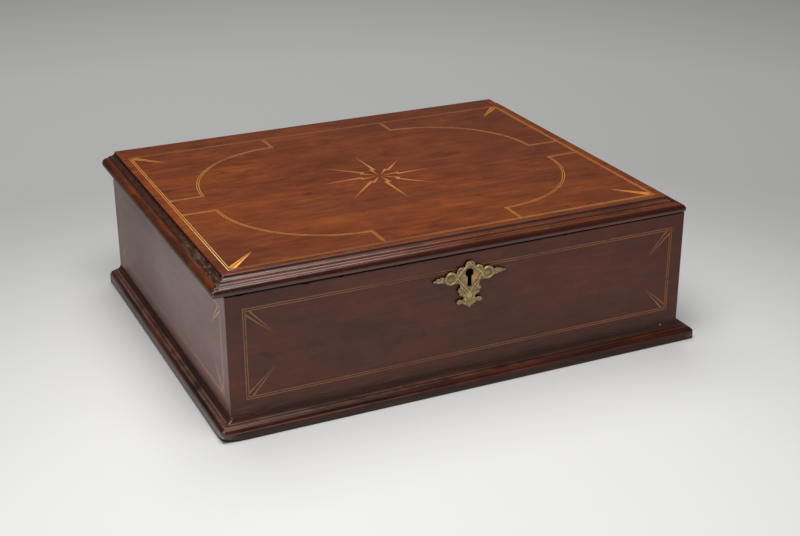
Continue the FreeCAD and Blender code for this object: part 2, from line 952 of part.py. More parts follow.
def make_lock_case():
    """Back plate with the lock's box on it, open towards the front, under the selvedge."""
    box = block((lock_left, lock_right), (lock_face + lock_sheet, inner_front), (lock_low, case_height))
    hollow = block(
        (lock_left + lock_sheet, lock_right - lock_sheet),
        (lock_face, inner_front - lock_sheet),
        (lock_low + lock_sheet, case_height - selvedge_thickness),
    )
    plate = block((plate_left, plate_right), (inner_front - lock_sheet, inner_front), (lock_low, case_height))
    selvedge = block(
        (plate_left, plate_right), (lock_face, inner_front), (case_height - selvedge_thickness, case_height)
    )
    shell = fuse(box.cut(hollow), plate, selvedge)
    return cut(shell, [staple_slot(m) for m in staple_middles()] + screws_at(lock_screw_places()))


def make_lock_cap():
    """Plate that closes the lock's box, with the keyhole in it."""
    y = (lock_face, lock_face + lock_sheet)
    plate = block((lock_left, lock_right), y, (lock_low, case_height - selvedge_thickness))
    return plate.cut(keyhole(lock_face - overshoot, y[1] + overshoot))


def make_key_pin():
    start = Vector(lock_offset, inner_front - lock_sheet, keyhole_z)
    return rod(key_pin_radius, start, Vector(lock_offset, case_front + key_pin_setback, keyhole_z))


def staple_eye_levels():
    low = case_height - staple_drop + staple_eye_low
    return low, low + staple_eye_height


def bolt_levels():
    """Bottom of the bolt's bar, and the low and high level of its tongues."""
    eye_low, eye_high = staple_eye_levels()
    tongue_low = (eye_low + eye_high - bolt_tongue_height) / 2
    return lock_low + lock_sheet + bolt_bar_rise, tongue_low, tongue_low + bolt_tongue_height


def make_lock_bolt():
    """Bar under the key's sweep, with an arm and a tongue for each staple."""
    bar_low, tongue_low, tongue_high = bolt_levels()
    y = (lock_middle_y - bolt_thickness / 2, lock_middle_y + bolt_thickness / 2)
    pieces = []
    arms = []
    for middle in staple_middles():
        tip = middle - staple_thickness / 2 - bolt_tongue_gap
        root = tip - bolt_travel - bolt_end_clearance
        arm = (root - bolt_arm, root)
        arms.append(arm)
        pieces.append(block(arm, y, (bar_low, tongue_high)))
        pieces.append(block((arm[1], tip), y, (tongue_low, tongue_high)))
    bar = block((arms[0][0], arms[-1][1]), y, (bar_low, bar_low + bolt_bar_height))
    talon_x = (lock_offset - talon_width / 2, lock_offset + talon_width / 2)
    bar_top = bar_low + bolt_bar_height
    talon = block(talon_x, (y[0] - overshoot, y[1] + overshoot), (bar_top - talon_depth, bar_top + overshoot))
    return fuse(bar, *pieces).cut(talon)


def make_bolt_spring():
    """Bowed strip under the bolt's bar, its ends on the bar and its middle near the lock's floor."""
    bar_low = bolt_levels()[0]
    left, right = (lock_offset - spring_span / 2, bar_low), (lock_offset + spring_span / 2, bar_low)
    sag = bolt_bar_rise - spring_strip - bolt_tongue_gap / 4
    y = lock_middle_y - spring_width / 2
    under_left, under_right = (left[0], bar_low - spring_strip), (right[0], bar_low - spring_strip)
    face = outline(
        left,
        [(bulge(left, right, -sag), right), under_right, (bulge(under_left, under_right, -sag), under_left)],
        lambda p: Vector(p[0], y, p[1]),
    )
    return face.extrude(Vector(0, spring_width, 0))


def link_plate_blank():
    y = (lock_face, inner_front)
    return block((plate_left, plate_right), y, (lid_low, lid_low + link_plate_thickness))


def make_link_plate():
    """Plate let into the lid's underside, with two eyed staples that drop into the lock."""
    eye_low, eye_high = staple_eye_levels()
    pieces = []
    for middle in staple_middles():
        x = (middle - staple_thickness / 2, middle + staple_thickness / 2)
        y = (lock_middle_y - staple_depth / 2, lock_middle_y + staple_depth / 2)
        eye_y = (lock_middle_y - staple_eye_width / 2, lock_middle_y + staple_eye_width / 2)
        staple = block(x, y, (case_height - staple_drop, lid_low))
        eye = block((x[0] - overshoot, x[1] + overshoot), eye_y, (eye_low, eye_high))
        pieces.append(staple.cut(eye))
    return cut(fuse(link_plate_blank(), *pieces), screws_at(link_screw_places()))


# Escutcheon


def flat_piece(face_wire_points):
    """Plate of the escutcheon's thickness over points measured from the keyhole's middle."""
    ring = [Vector(lock_offset + x, case_front, keyhole_z + z) for x, z in face_wire_points]
    face = Part.Face(Part.makePolygon(ring + ring[:1]))
    return face.extrude(Vector(0, -escutcheon_thickness, 0))


def disc(x, z, radius):
    start = Vector(lock_offset + x, case_front, keyhole_z + z)
    return rod(radius, start, start - Vector(0, escutcheon_thickness, 0))


def lozenge_points(inset):
    """Corners of the lozenge, drawn in by inset along its axes."""
    return [
        (0, lozenge_top - inset),
        (lozenge_half_width - inset, -lozenge_shoulder),
        (0, -lozenge_bottom + inset),
        (-lozenge_half_width + inset, -lozenge_shoulder),
    ]


def escutcheon_side(s):
    """Shoulder, wing, leaf, fringe and foot of one side: s is -1 or 1."""
    leaf_points = [
        (s * wing_out, -wing_drop + leaf_root_half_height),
        (s * (wing_out + wing_radius), -wing_drop + leaf_half_height),
        (s * leaf_reach, -wing_drop),
        (s * (wing_out + wing_radius), -wing_drop - leaf_half_height),
        (s * wing_out, -wing_drop - leaf_root_half_height),
    ]
    return [
        disc(s * shoulder_out, shoulder_rise, shoulder_radius),
        disc(s * wing_out, -wing_drop, wing_radius),
        flat_piece(leaf_points),
        disc(s * fringe_out, -fringe_drop, fringe_radius),
        disc(s * foot_out, -foot_drop, foot_radius),
        flat_piece(
            [
                (0, -foot_drop + foot_radius),
                (s * foot_out, -foot_drop + foot_radius),
                (s * foot_out, -foot_drop - foot_radius),
                (0, -tassel_drop),
            ]
        ),
    ]


def make_escutcheon():
    """Cast plate: crest, lozenge with a raised rim, wings with leaf tips, and a pendant with a tassel."""
    pendant = flat_piece(
        [
            (-pendant_half_width, -lozenge_shoulder),
            (pendant_half_width, -lozenge_shoulder),
            (neck_half_width, -neck_bottom),
            (-neck_half_width, -neck_bottom),
        ]
    )
    plate = fuse(
        flat_piece(lozenge_points(0)),
        disc(0, crest_rise, crest_radius),
        pendant,
        disc(0, -tassel_drop, tassel_radius),
        *escutcheon_side(-1),
        *escutcheon_side(1),
    )
    lift = Vector(0, -lozenge_rim_height, 0)
    rim = flat_piece(lozenge_points(0)).cut(flat_piece(lozenge_points(lozenge_rim)))
    rim.translate(lift)
    holes = [escutcheon_pin_shank(s) for s in (-1, 1)]
    through = keyhole(case_front - escutcheon_thickness - overshoot, case_front + overshoot)
    return cut(fuse(plate, rim), [through] + holes)


def pin_point(s):
    return Vector(lock_offset + s * wing_out, case_front - escutcheon_thickness, keyhole_z - wing_drop)


def escutcheon_pin_shank(s):
    start = pin_point(s)
    return rod(escutcheon_pin_radius, start, Vector(start.x, lock_face - escutcheon_pin_end, start.z))


def escutcheon_pin(s):
    """Round-headed pin through a wing."""
    start = pin_point(s)
    ball = (escutcheon_pin_head**2 + escutcheon_pin_dome**2) / (2 * escutcheon_pin_dome)
    centre = start + Vector(0, ball - escutcheon_pin_dome, 0)
    front_half = block(
        (start.x - ball, start.x + ball),
        (start.y - 2 * ball, start.y),
        (start.z - ball, start.z + ball),
    )
    dome = Part.makeSphere(ball, centre).common(front_half)
    return fuse(dome, escutcheon_pin_shank(s))


def make_escutcheon_pins():
    return Part.makeCompound([escutcheon_pin(s) for s in (-1, 1)])


# Drawer and its supports


def drawer_tails_at(near, far):
    """Dovetails of one drawer side, in sockets in the drawer front."""
    shoulder, tip = inner_right, half_width - drawer_front_lap
    height = drawer_side_top - drawer_low
    pitch = height / drawer_tails
    half = (pitch - tail_gap) / 2
    tails = []
    for i in range(drawer_tails):
        middle = drawer_low + pitch * i + pitch / 2
        points = [
            (shoulder, middle - half + tail_flare),
            (tip, middle - half),
            (tip, middle + half),
            (shoulder, middle + half - tail_flare),
        ]
        ring = [Vector(x, near, z) for x, z in points]
        tails.append(Part.Face(Part.makePolygon(ring + ring[:1])).extrude(Vector(0, far - near, 0)))
    return tails


def near_tails():
    return drawer_tails_at(drawer_near, drawer_inside_near)


def far_tails():
    return drawer_tails_at(drawer_inside_far, drawer_far)


def make_drawer_bottom():
    x = (drawer_tail_end, inner_right + drawer_groove)
    y = (drawer_inside_near - drawer_groove, drawer_inside_far + drawer_groove)
    return block(x, y, (drawer_floor - drawer_bottom_thickness, drawer_floor))


def knob_shank():
    start = Vector(half_width, drawer_middle, drawer_mid_height)
    end = Vector(inner_right - knob_nut_thickness - knob_shank_proud, drawer_middle, drawer_mid_height)
    return rod(knob_shank_radius, start, end)


def make_drawer_front():
    board = block((inner_right, half_width), (drawer_near, drawer_far), (drawer_low, drawer_high))
    tools = near_tails() + far_tails() + [make_drawer_bottom(), knob_shank()] + make_drawer_border()
    return cut(board, tools)


def drawer_side_board(near, far, tails):
    board = block((drawer_tail_end, inner_right), (near, far), (drawer_low, drawer_side_top))
    return fuse(board, *tails)


def make_drawer_side(which):
    sides = {
        "near": (drawer_near, drawer_inside_near, near_tails()),
        "far": (drawer_inside_far, drawer_far, far_tails()),
    }
    housed = [make_drawer_bottom(), make_drawer_partition(), make_drawer_back()]
    return cut(drawer_side_board(*sides[which]), housed)


def make_drawer_partition():
    """Cross board that the dropped locking pin stands in the way of."""
    right = pin_x - pin_radius - pin_play
    x = (right - drawer_partition_thickness, right)
    y = (drawer_inside_near - drawer_housing, drawer_inside_far + drawer_housing)
    return block(x, y, (drawer_floor, drawer_side_top))


def make_drawer_back():
    x = (drawer_tail_end, drawer_tail_end + drawer_back_thickness)
    y = (drawer_inside_near - drawer_housing, drawer_inside_far + drawer_housing)
    return block(x, y, (drawer_floor, drawer_side_top))


def make_knob():
    """Turned knob: rose, neck and rounded head, with its shank through the drawer front."""
    head_low = knob_reach - knob_head_thickness
    start = (knob_rose_thickness, 0.0)
    steps = [
        (knob_rose_thickness, knob_neck_radius),
        (head_low, knob_neck_radius),
        ((head_low + knob_head_thickness / 2, knob_head_radius), (knob_reach, knob_neck_radius)),
        (knob_reach, 0.0),
    ]
    face = outline(start, steps, lambda p: Vector(half_width + p[0], drawer_middle, drawer_mid_height + p[1]))
    axis_point = Vector(half_width, drawer_middle, drawer_mid_height)
    turned = face.revolve(axis_point, Vector(1, 0, 0), full_turn)
    rose = rod(knob_rose_radius, axis_point, axis_point + Vector(knob_rose_thickness, 0, 0))
    return fuse(turned, rose, knob_shank())


def make_knob_nut():
    centre = Vector(inner_right, drawer_middle, drawer_mid_height)
    ring = []
    for i in range(knob_nut_sides):
        turn = math.radians(full_turn * i / knob_nut_sides)
        offset = Vector(0, math.cos(turn), math.sin(turn)) * knob_nut_radius
        ring.append(centre + offset)
    nut = Part.Face(Part.makePolygon(ring + ring[:1])).extrude(Vector(-knob_nut_thickness, 0, 0))
    return nut.cut(knob_shank())


def make_runner(which):
    """Strip that a drawer side slides on, from end to end of the case."""
    width = drawer_stile + runner_overlap
    y = (inner_front, inner_front + width) if which == "front" else (inner_back - width, inner_back)
    return block((inner_left, inner_right), y, (bottom_thickness, sill))


def make_guide(which):
    """Strip beside the drawer that keeps it straight."""
    y = (inner_front, opening_front) if which == "front" else (opening_back, inner_back)
    return block((inner_left, inner_right), y, (sill, sill + guide_height))


def make_drawer_stops():
    x = (inner_left, drawer_tail_end - drawer_clearance)
    rows = ((opening_front, opening_front + stop_width), (opening_back - stop_width, opening_back))
    return Part.makeCompound([block(x, y, (sill, sill + stop_height)) for y in rows])


def make_locking_pin():
    """Pin that drops through the dust board in front of the drawer's partition, shown raised."""
    tip = Vector(pin_x, pin_y, pin_rest_tip)
    neck = Vector(pin_x, pin_y, dust_top + pin_travel)
    top = neck + Vector(0, 0, pin_head_height)
    head_shape = rod(pin_head_radius, neck, top)
    rims = [edge for edge in head_shape.Edges if edge.Curve.TypeId == "Part::GeomCircle"]
    return fuse(head_shape.makeFillet(pin_head_height / 4, rims), rod(pin_radius, tip, neck))


# All the pieces, each in a file of its own


def pieces():
    along_x, along_z = Vector(1, 0, 0), Vector(0, 0, 1)
    return {
        "front_board": make_front_board(),
        "back_board": make_back_board(),
        "left_side": make_left_side(),
        "right_side": make_right_side(),
        "bottom_board": make_bottom_board(),
        "dust_board": make_dust_board(),
        "corner_splines": Part.makeCompound(corner_splines()),
        "till_partition": make_till_partition(),
        "till_cross_partition": make_cross_partition(),
        "base_moulding_front": make_base_moulding("front"),
        "base_moulding_left": make_base_moulding("left"),
        "base_moulding_right": make_base_moulding("right"),
        "base_nails": make_base_nails(),
        "drawer_runner_front": make_runner("front"),
        "drawer_runner_back": make_runner("back"),
        "drawer_guide_front": make_guide("front"),
        "drawer_guide_back": make_guide("back"),
        "drawer_stops": make_drawer_stops(),
        "front_border": Part.makeCompound(make_front_border()),
        "front_darts": Part.makeCompound(make_front_darts()),
        "left_border": Part.makeCompound(make_left_border()),
        "left_darts": Part.makeCompound(make_left_darts()),
        "right_border": Part.makeCompound(make_right_border()),
        "right_darts": Part.makeCompound(make_right_darts()),
        "lid_board": make_lid_board(),
        "lid_moulding_front": make_lid_moulding("front"),
        "lid_moulding_left": make_lid_moulding("left"),
        "lid_moulding_right": make_lid_moulding("right"),
        "lid_border": Part.makeCompound(make_lid_border()),
        "lid_scallops": Part.makeCompound(make_lid_scallops()),
        "lid_star": Part.makeCompound(make_lid_star()),
        "lid_darts": Part.makeCompound(make_lid_darts()),
        "escutcheon": make_escutcheon(),
        "escutcheon_pins": make_escutcheon_pins(),
        "lock_case": make_lock_case(),
        "lock_cap": make_lock_cap(),
        "lock_key_pin": make_key_pin(),
        "lock_screws": screw_group(lock_screw_places(), along_z),
        "lock_bolt": make_lock_bolt(),
        "lock_bolt_spring": make_bolt_spring(),
        "link_plate": make_link_plate(),
        "link_plate_screws": screw_group(link_screw_places(), along_x),
        "hinge_case_leaves": make_case_leaves(),
        "hinge_lid_leaves": make_lid_leaves(),
        "hinge_pins": make_hinge_pins(),
        "hinge_case_screws": screw_group(case_hinge_screw_places(), along_x),
        "hinge_lid_screws": screw_group(lid_hinge_screw_places(), along_x),
        "drawer_front": make_drawer_front(),
        "drawer_side_near": make_drawer_side("near"),
        "drawer_side_far": make_drawer_side("far"),
        "drawer_back": make_drawer_back(),
        "drawer_bottom": make_drawer_bottom(),
        "drawer_partition": make_drawer_partition(),
        "drawer_border": Part.makeCompound(make_drawer_border()),
        "drawer_knob": make_knob(),
        "drawer_knob_nut": make_knob_nut(),
        "drawer_locking_pin": make_locking_pin(),
    }


os.makedirs("parts", exist_ok=True)
for name, shape in pieces().items():
    shape.exportStep("parts/" + name + ".step")
print("hinge axis", round(hinge_y, 3), round(hinge_z, 3), "pin travel", round(pin_travel, 3))
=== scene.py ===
import math
from collections import namedtuple

import bmesh
import bpy
from mathutils import Matrix, Vector, noise


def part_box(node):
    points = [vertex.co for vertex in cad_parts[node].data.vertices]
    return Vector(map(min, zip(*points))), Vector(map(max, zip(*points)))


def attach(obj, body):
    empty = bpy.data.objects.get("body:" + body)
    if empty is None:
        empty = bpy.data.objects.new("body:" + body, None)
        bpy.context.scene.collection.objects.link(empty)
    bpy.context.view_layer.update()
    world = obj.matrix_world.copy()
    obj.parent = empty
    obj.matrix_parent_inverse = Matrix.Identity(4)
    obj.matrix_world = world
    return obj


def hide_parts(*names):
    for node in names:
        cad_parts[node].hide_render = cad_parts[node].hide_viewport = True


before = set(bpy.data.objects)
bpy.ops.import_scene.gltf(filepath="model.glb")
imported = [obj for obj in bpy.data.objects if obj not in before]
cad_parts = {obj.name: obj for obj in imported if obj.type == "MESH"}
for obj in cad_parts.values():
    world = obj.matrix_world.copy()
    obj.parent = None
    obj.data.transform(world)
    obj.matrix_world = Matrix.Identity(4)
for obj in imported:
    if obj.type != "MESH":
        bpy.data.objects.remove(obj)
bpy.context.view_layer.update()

# A mahogany letter box with a drawer, on a pale studio table. Metres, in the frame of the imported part.
# Places and heights that are easier to read in millimetres are written so and turned into metres with MM.

MM = 0.001

FLAT_MARGIN = 7.2 * MM  # width of the flat top that the lid's mouldings add to its board
lid_low, lid_high = (Vector(corner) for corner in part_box("lid_board"))
case_low, case_high = (Vector(corner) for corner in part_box("bottom_board"))
# Left, right and front edges: of the lid's flat top, and of the case's walls. The mitres run out from them.
LID_EDGES = (lid_low.x - FLAT_MARGIN, lid_high.x + FLAT_MARGIN, lid_low.y - FLAT_MARGIN)
WALLS = (case_low.x, case_high.x, case_low.y)
KEYHOLE = Vector((-1.8, -169.75, 105.0)) * MM  # its middle, on the front board's face
# The lid's border is a pair of lines: how wide each is, and from the outer one's edge to the inner one's
LINE_WIDTH = 0.72 * MM
LINE_PITCH = 1.88 * MM
# From here, at 45 degrees, runs the seam between the front left dart's two slivers
DART_SEAM = (-204.2 * MM, -150.65 * MM)


# Tones, as seen on a screen. A wood's four run from its darkest figure to its lightest.

LID_TONES = ((80, 34, 13), (112, 51, 19), (134, 64, 23), (164, 84, 31))
CASE_TONES = ((70, 33, 22), (88, 42, 27), (98, 46, 30), (114, 56, 36))
LEFT_TONES = ((88, 42, 30), (112, 56, 40), (124, 62, 44), (142, 74, 52))
MOULDING_TONES = ((52, 18, 8), (78, 30, 13), (96, 40, 18), (120, 56, 28))
END_TONES = ((48, 18, 7), (84, 33, 10), (108, 46, 13), (132, 62, 22))
BASE_TONES = ((34, 16, 11), (60, 26, 15), (78, 32, 18), (104, 46, 28))
PINE_TONES = ((128, 92, 58), (160, 122, 82), (176, 138, 94), (196, 160, 116))
LID_FLECKS = 0.6  # how strongly the lid's dark flecks show, and its clouds
LID_CLOUDS = 0.45

# Shared by several woods
# dirt and painted shade, where a point is closed in by nearby surfaces
CREVICE_DIRT_AND_SHADE = (22, 15, 12)
RUBBED_EDGE = (120, 78, 58)
# grime and painted shade at the lid cove's top and in the quirks
GRIME_AND_SHADE = (30, 22, 18)
BARE_WOOD = (196, 170, 146)

# Lid's board
BETWEEN_LINES = (34, 20, 10)
# painted shade, darker and greyer, on the lid's far corner
FAR_CORNER_SHADE = (84, 46, 34)
LEFT_END = (96, 42, 16)
BLUSH_DARK = (96, 48, 33)
BLUSH_LIGHT = (146, 74, 26)
LID_STAIN = (66, 34, 22)

# Lid's mouldings
# painted highlight on the lid moulding's steps
STEP_HIGHLIGHT = (134, 74, 46)
# painted shade on the lower half of the lid moulding's nose
BELLY_SHADE = (54, 16, 4)
# grime and painted shade at the top of the end strips' hollow
HOLLOW_TOP_DIRT_AND_SHADE = (16, 10, 8)
HOLLOW_BROWN = (58, 28, 16)
HOLLOW_STREAK = (24, 15, 12)
HOLLOW_DUST = (104, 90, 78)
NOSE_BLOT = (40, 14, 7)
# painted highlight line between the hollow and the nose
NOSE_HIGHLIGHT = (170, 144, 128)
NOSE_SHADE = (32, 13, 7)

# Front board and base mouldings
LOW_DIRT = (44, 34, 30)
LOW_DUST = (104, 88, 76)
# painted shadow under the lid, on the case's top front edge
UNDER_LID_SHADOW = (14, 9, 8)
RED_STREAK = (132, 54, 34)
BROWN_STREAK = (98, 50, 28)
DARK_STREAK = (30, 16, 11)
COVE_DIRT = (50, 38, 32)
# worn arrises, with painted highlights
ARRIS_WEAR_AND_HIGHLIGHT = (152, 120, 104)
# darker towards the foot's bottom
FOOT_DARKENING = (40, 27, 22)
# scuff, and a painted grey reflection of the table, at the front left corner
CORNER_SCUFF_AND_REFLECTION = (112, 92, 82)

# Stringing: its light wood, and what polish and wear have made of it here and there
LID_LINE = (222, 152, 62)
LID_LINE_DIM = (176, 110, 46)
LEFT_LINE = (226, 152, 58)
LEFT_LINE_BRIGHT = (250, 224, 146)
LEFT_LINE_INNER = (214, 150, 62)
BACK_LINE = (134, 82, 42)
RIGHT_LINE = (214, 132, 58)
FRONT_LINE = (138, 92, 38)
FRONT_LINE_HIDDEN = (120, 62, 28)
STAR = (216, 134, 64)
STAR_DIM = (182, 98, 44)
DART = (250, 158, 56)
DART_DIM = (222, 128, 48)
DART_BACK = (150, 84, 34)
DART_PALER = (255, 196, 92)
CASE_LINE = (176, 116, 72)
CASE_LINE_DIM = (124, 78, 52)
CASE_LINE_OLIVE = (146, 112, 72)
CASE_LINE_ORANGE = (176, 104, 52)
SIDE_LINE = (255, 196, 160)
SIDE_LINE_DIM = (226, 160, 124)
SIDE_LINE_LOST = (128, 78, 60)

# Metals: rubbed, tarnished and grimy, with a painted glint on one nail
BRASS_TONES = ((168, 146, 96), (126, 112, 70), (66, 58, 42))
IRON_TONES = ((92, 88, 84), (58, 52, 48), (44, 30, 22))
STAINED_NAIL = (34, 22, 17)
# painted glint on one nail head
NAIL_GLINT = (182, 172, 162)

# Escutcheon's cast brass, from its ground up to its highest work, and the marks on it
CAST_GROUND = (74, 62, 42)
CAST_LOW = (142, 118, 76)
CAST_RAISED = (178, 150, 102)
CAST_HIGH = (214, 192, 150)
CAST_GOLD = (222, 166, 88)
CAST_TIP = (98, 98, 78)
CAST_STAIN = (106, 100, 74)
CAST_HOLLOW = (38, 32, 20)
CAST_SIDE = (26, 20, 14)

# Heights above the table of the mouldings' forms, in millimetres
LID_COVE_TOP = (133.3, 134.6)
LID_STEPS = (129.0, 133.3)
LID_QUIRK = (131.3, 131.85)
LID_BELLY = (125.6, 129.8)
LID_HOLLOW = (130.7, 134.6)
# where the painted highlight line runs
LID_NOSE_HIGHLIGHT = (130.3, 130.6)
LID_FLAT = (135.1, 135.5)
BASE_COVE = (12.76, 17.1)
BASE_QUIRK = (11.95, 12.5)
BASE_ARRISES = ((12.5, 12.8), (11.5, 11.95), (7.3, 7.9))
BASE_SCUFF_AND_REFLECTION = (1.0, 8.0)


# Materials

Figure = namedtuple("Figure", "colour streaks mottle pores cloud fibre")


class Graph:
    """Short ways to add nodes to one material.

    figure: the patterns of its wood, for what is laid over them.
    dullness: where its polish is dull, from 0 to 1.
    """

    def __init__(self, name):
        self.material = bpy.data.materials.new(name)
        self.material.use_nodes = True
        self.tree = self.material.node_tree
        self.tree.nodes.clear()
        self.place = self.node("ShaderNodeTexCoord").outputs["Object"]
        self.x, self.y, self.z = self.node("ShaderNodeSeparateXYZ", {"Vector": self.place}).outputs
        self.figure = None
        self.dullness = None

    def node(self, kind, sockets=None, **settings):
        made = self.tree.nodes.new(kind)
        for key, value in settings.items():
            setattr(made, key, value)
        for key, value in (sockets or {}).items():
            self.feed(made.inputs[key], value)
        return made

    def feed(self, socket, value):
        if isinstance(value, bpy.types.NodeSocket):
            self.tree.links.new(value, socket)
        else:
            socket.default_value = value

    def math(self, operation, *values, clamp=False):
        sockets = dict(enumerate(values))
        return self.node("ShaderNodeMath", sockets, operation=operation, use_clamp=clamp).outputs[0]

    def times(self, share, *others):
        """Product of several masks and shares."""
        for other in others:
            share = self.math("MULTIPLY", share, other)
        return share

    def stretched(self, scale, shift=(0, 0, 0)):
        sockets = {"Vector": self.place, "Location": shift, "Scale": scale}
        return self.node("ShaderNodeMapping", sockets).outputs[0]

    def noise(self, place, detail=2.0, roughness=0.5, distortion=0.0):
        sockets = {"Vector": place, "Scale": 1.0, "Detail": detail, "Roughness": roughness,
                   "Distortion": distortion}
        return self.node("ShaderNodeTexNoise", sockets).outputs["Fac"]

    def spread(self, value, low, high, to_low=0.0, to_high=1.0):
        sockets = {"Value": value, "From Min": low, "From Max": high, "To Min": to_low, "To Max": to_high}
        return self.node("ShaderNodeMapRange", sockets).outputs[0]

    def within(self, value, low, high, soft):
        """1 between two values, 0 outside."""
        rising = self.spread(value, low - soft, low + soft)
        return self.times(rising, self.spread(value, high - soft, high + soft, 1.0, 0.0))

    def band(self, heights, soft):
        """1 between two heights in millimetres, 0 outside."""
        low, high = heights
        return self.within(self.z, low * MM, high * MM, soft * MM)

    def away_from(self, point):
        sockets = {0: self.place, 1: tuple(point)}
        return self.node("ShaderNodeVectorMath", sockets, operation="DISTANCE").outputs["Value"]

    def mix(self, factor, a, b):
        node = self.node("ShaderNodeMix", data_type="RGBA")
        for index, value in ((0, factor), (6, a), (7, b)):
            self.feed(node.inputs[index], value)
        return node.outputs[2]

    def tinted(self, colour, tone, *shares):
        """The colour, turned towards a tone by the product of these shares."""
        return self.mix(self.times(*shares), colour, paint(tone))

    def ramp(self, value, *stops):
        node = self.node("ShaderNodeValToRGB", {"Fac": value})
        elements = node.color_ramp.elements
        while len(elements) < len(stops):
            elements.new(0.5)
        for element, (position, colour) in zip(elements, stops):
            element.position = position
            element.color = (*colour, 1)
        return node.outputs["Color"]

    def bump(self, height, strength, distance, normal=None):
        sockets = {"Height": height, "Strength": strength, "Distance": distance}
        if normal:
            sockets["Normal"] = normal
        return self.node("ShaderNodeBump", sockets).outputs[0]

    def eased(self, radius):
        """Normal with the edges rounded over, and how much of an edge each point is."""
        normal = self.node("ShaderNodeBevel", {"Radius": radius}, samples=4).outputs[0]
        flat = self.node("ShaderNodeNewGeometry").outputs["Normal"]
        same = self.node("ShaderNodeVectorMath", {0: normal, 1: flat}, operation="DOT_PRODUCT")
        return normal, self.math("SUBTRACT", 1.0, same.outputs["Value"], clamp=True)

    def hollow(self, distance):
        """How closed in each point is, 0 in the open."""
        openness = self.node("ShaderNodeAmbientOcclusion", {"Distance": distance}, samples=6).outputs["AO"]
        return self.math("SUBTRACT", 1.0, openness)

    def finish(self, **sockets):
        named = {key.replace("_", " "): value for key, value in sockets.items()}
        shader = self.node("ShaderNodeBsdfPrincipled", named)
        out = self.node("ShaderNodeOutputMaterial")
        self.tree.links.new(shader.outputs[0], out.inputs["Surface"])
        return self.material


def rgb(tone):
    """A tone as seen on a screen, made linear."""
    return tuple((v / 255 / 12.92) if v < 11 else ((v / 255 + 0.055) / 1.055) ** 2.4 for v in tone)


def paint(tone):
    return (*rgb(tone), 1)


def darker(tone, share):
    return [share * v for v in tone]


def figured(g, grain, tones, shift, flecks, clouds):
    """Wood's own colour and the patterns that it is made of. grain: the axis that its fibres follow."""
    along = "xyz".index(grain)

    def run(across, lengthwise, offset=0.0):
        scale = [across] * 3
        scale[along] = lengthwise
        return g.stretched(scale, (shift + offset, shift * 1.7 - offset, shift * 0.6 + offset))

    bands = g.noise(run(14, 3.4), 3, 0.55, 0.9)
    streaks = g.noise(run(210, 16, 3.1), 4, 0.62, 0.5)
    fibre = g.noise(run(1100, 60, 5.3), 3, 0.6)
    mottle = g.noise(run(62, 34, 7.7), 4, 0.6, 0.6)
    pores = g.spread(g.noise(run(1500, 90, 9.7), 1), 0.62, 0.76)
    spots = g.spread(g.noise(run(150, 62, 12.3), 2, 0.4), 0.685, 0.76)
    cloud = g.noise(g.stretched((6, 6, 9), (shift, 2.0, shift)), 3, 0.6)
    tone = g.math("MULTIPLY_ADD", bands, 0.3, g.times(fibre, 0.16))
    tone = g.math("MULTIPLY_ADD", streaks, 0.28, g.math("MULTIPLY_ADD", mottle, 0.26, tone))
    colour = g.ramp(tone, *zip((0.36, 0.46, 0.54, 0.64), [rgb(t) for t in tones]))
    colour = g.tinted(colour, darker(tones[0], 0.42), pores, 0.4)
    colour = g.tinted(colour, darker(tones[0], 0.42), spots, flecks)
    colour = g.tinted(colour, tones[0], g.spread(cloud, 0.45, 0.72, 0.0, clouds))
    return Figure(colour, streaks, mottle, pores, cloud, fibre)


def wood(name, grain, tones, shift, gloss=0.36, specular=0.38, flecks=0.5, clouds=0.5, dress=None):
    """Old wood under polish, with grime and painted shade in its hollows, and worn edges.

    shift: moves its figure, so that no two boards are alike.
    dress: adds what only this piece has to its colour.
    """
    g = Graph(name)
    figure = figured(g, grain, tones, shift, flecks, clouds)
    g.figure = figure
    colour = dress(g, figure.colour) if dress else figure.colour
    normal, edge = g.eased(0.8 * MM)
    rubbed = g.spread(figure.streaks, 0.4, 0.6, 0.2, 0.35)
    worn = g.math("MULTIPLY", g.spread(edge, 0.03, 0.3), rubbed, clamp=True)
    colour = g.tinted(colour, RUBBED_EDGE, worn)
    # dirt and painted shade in crevices, from how closed in each point is
    colour = g.tinted(colour, CREVICE_DIRT_AND_SHADE, g.spread(g.hollow(5 * MM), 0.45, 0.85, 0.0, 0.8))
    rough = g.spread(figure.cloud, 0.3, 0.7, gloss - 0.05, gloss + 0.09)
    rough = g.math("ADD", rough, g.times(figure.pores, 0.12))
    if g.dullness:
        rough = g.math("MULTIPLY_ADD", g.dullness, 0.6, rough)
    height = g.math("MULTIPLY_ADD", figure.streaks, 0.5, g.times(figure.fibre, 0.5))
    height = g.math("MULTIPLY_ADD", figure.pores, -0.6, height)
    return g.finish(Base_Color=colour, Roughness=rough, Specular_IOR_Level=specular,
                    Normal=g.bump(height, 0.16, 0.12 * MM, normal))


def inlay(name, light, dim, dimness, dress=None, specular=0.38):
    """Pale hardwood line, darker where the polish has grown over it."""
    g = Graph(name)
    fibre = g.noise(g.stretched((600, 600, 600)), 3, 0.6)
    wear = g.noise(g.stretched((13, 13, 13), (4.0, 1.0, 2.0)), 4, 0.65)
    nicks = g.noise(g.stretched((160, 160, 160), (1.0, 6.0, 2.0)), 2, 0.5)
    colour = g.mix(g.spread(fibre, 0.35, 0.65), paint(light), paint(darker(light, 0.8)))
    colour = g.tinted(colour, dim, g.spread(wear, 0.62 - 0.4 * dimness, 0.86 - 0.4 * dimness))
    if dress:
        colour = dress(g, colour)
    colour = g.tinted(colour, darker(dim, 0.6), g.spread(nicks, 0.62, 0.74, 0.0, 0.7))
    rough = g.spread(fibre, 0.3, 0.7, 0.34, 0.48)
    return g.finish(Base_Color=colour, Roughness=rough, Specular_IOR_Level=specular,
                    Normal=g.bump(fibre, 0.1, 0.1 * MM))


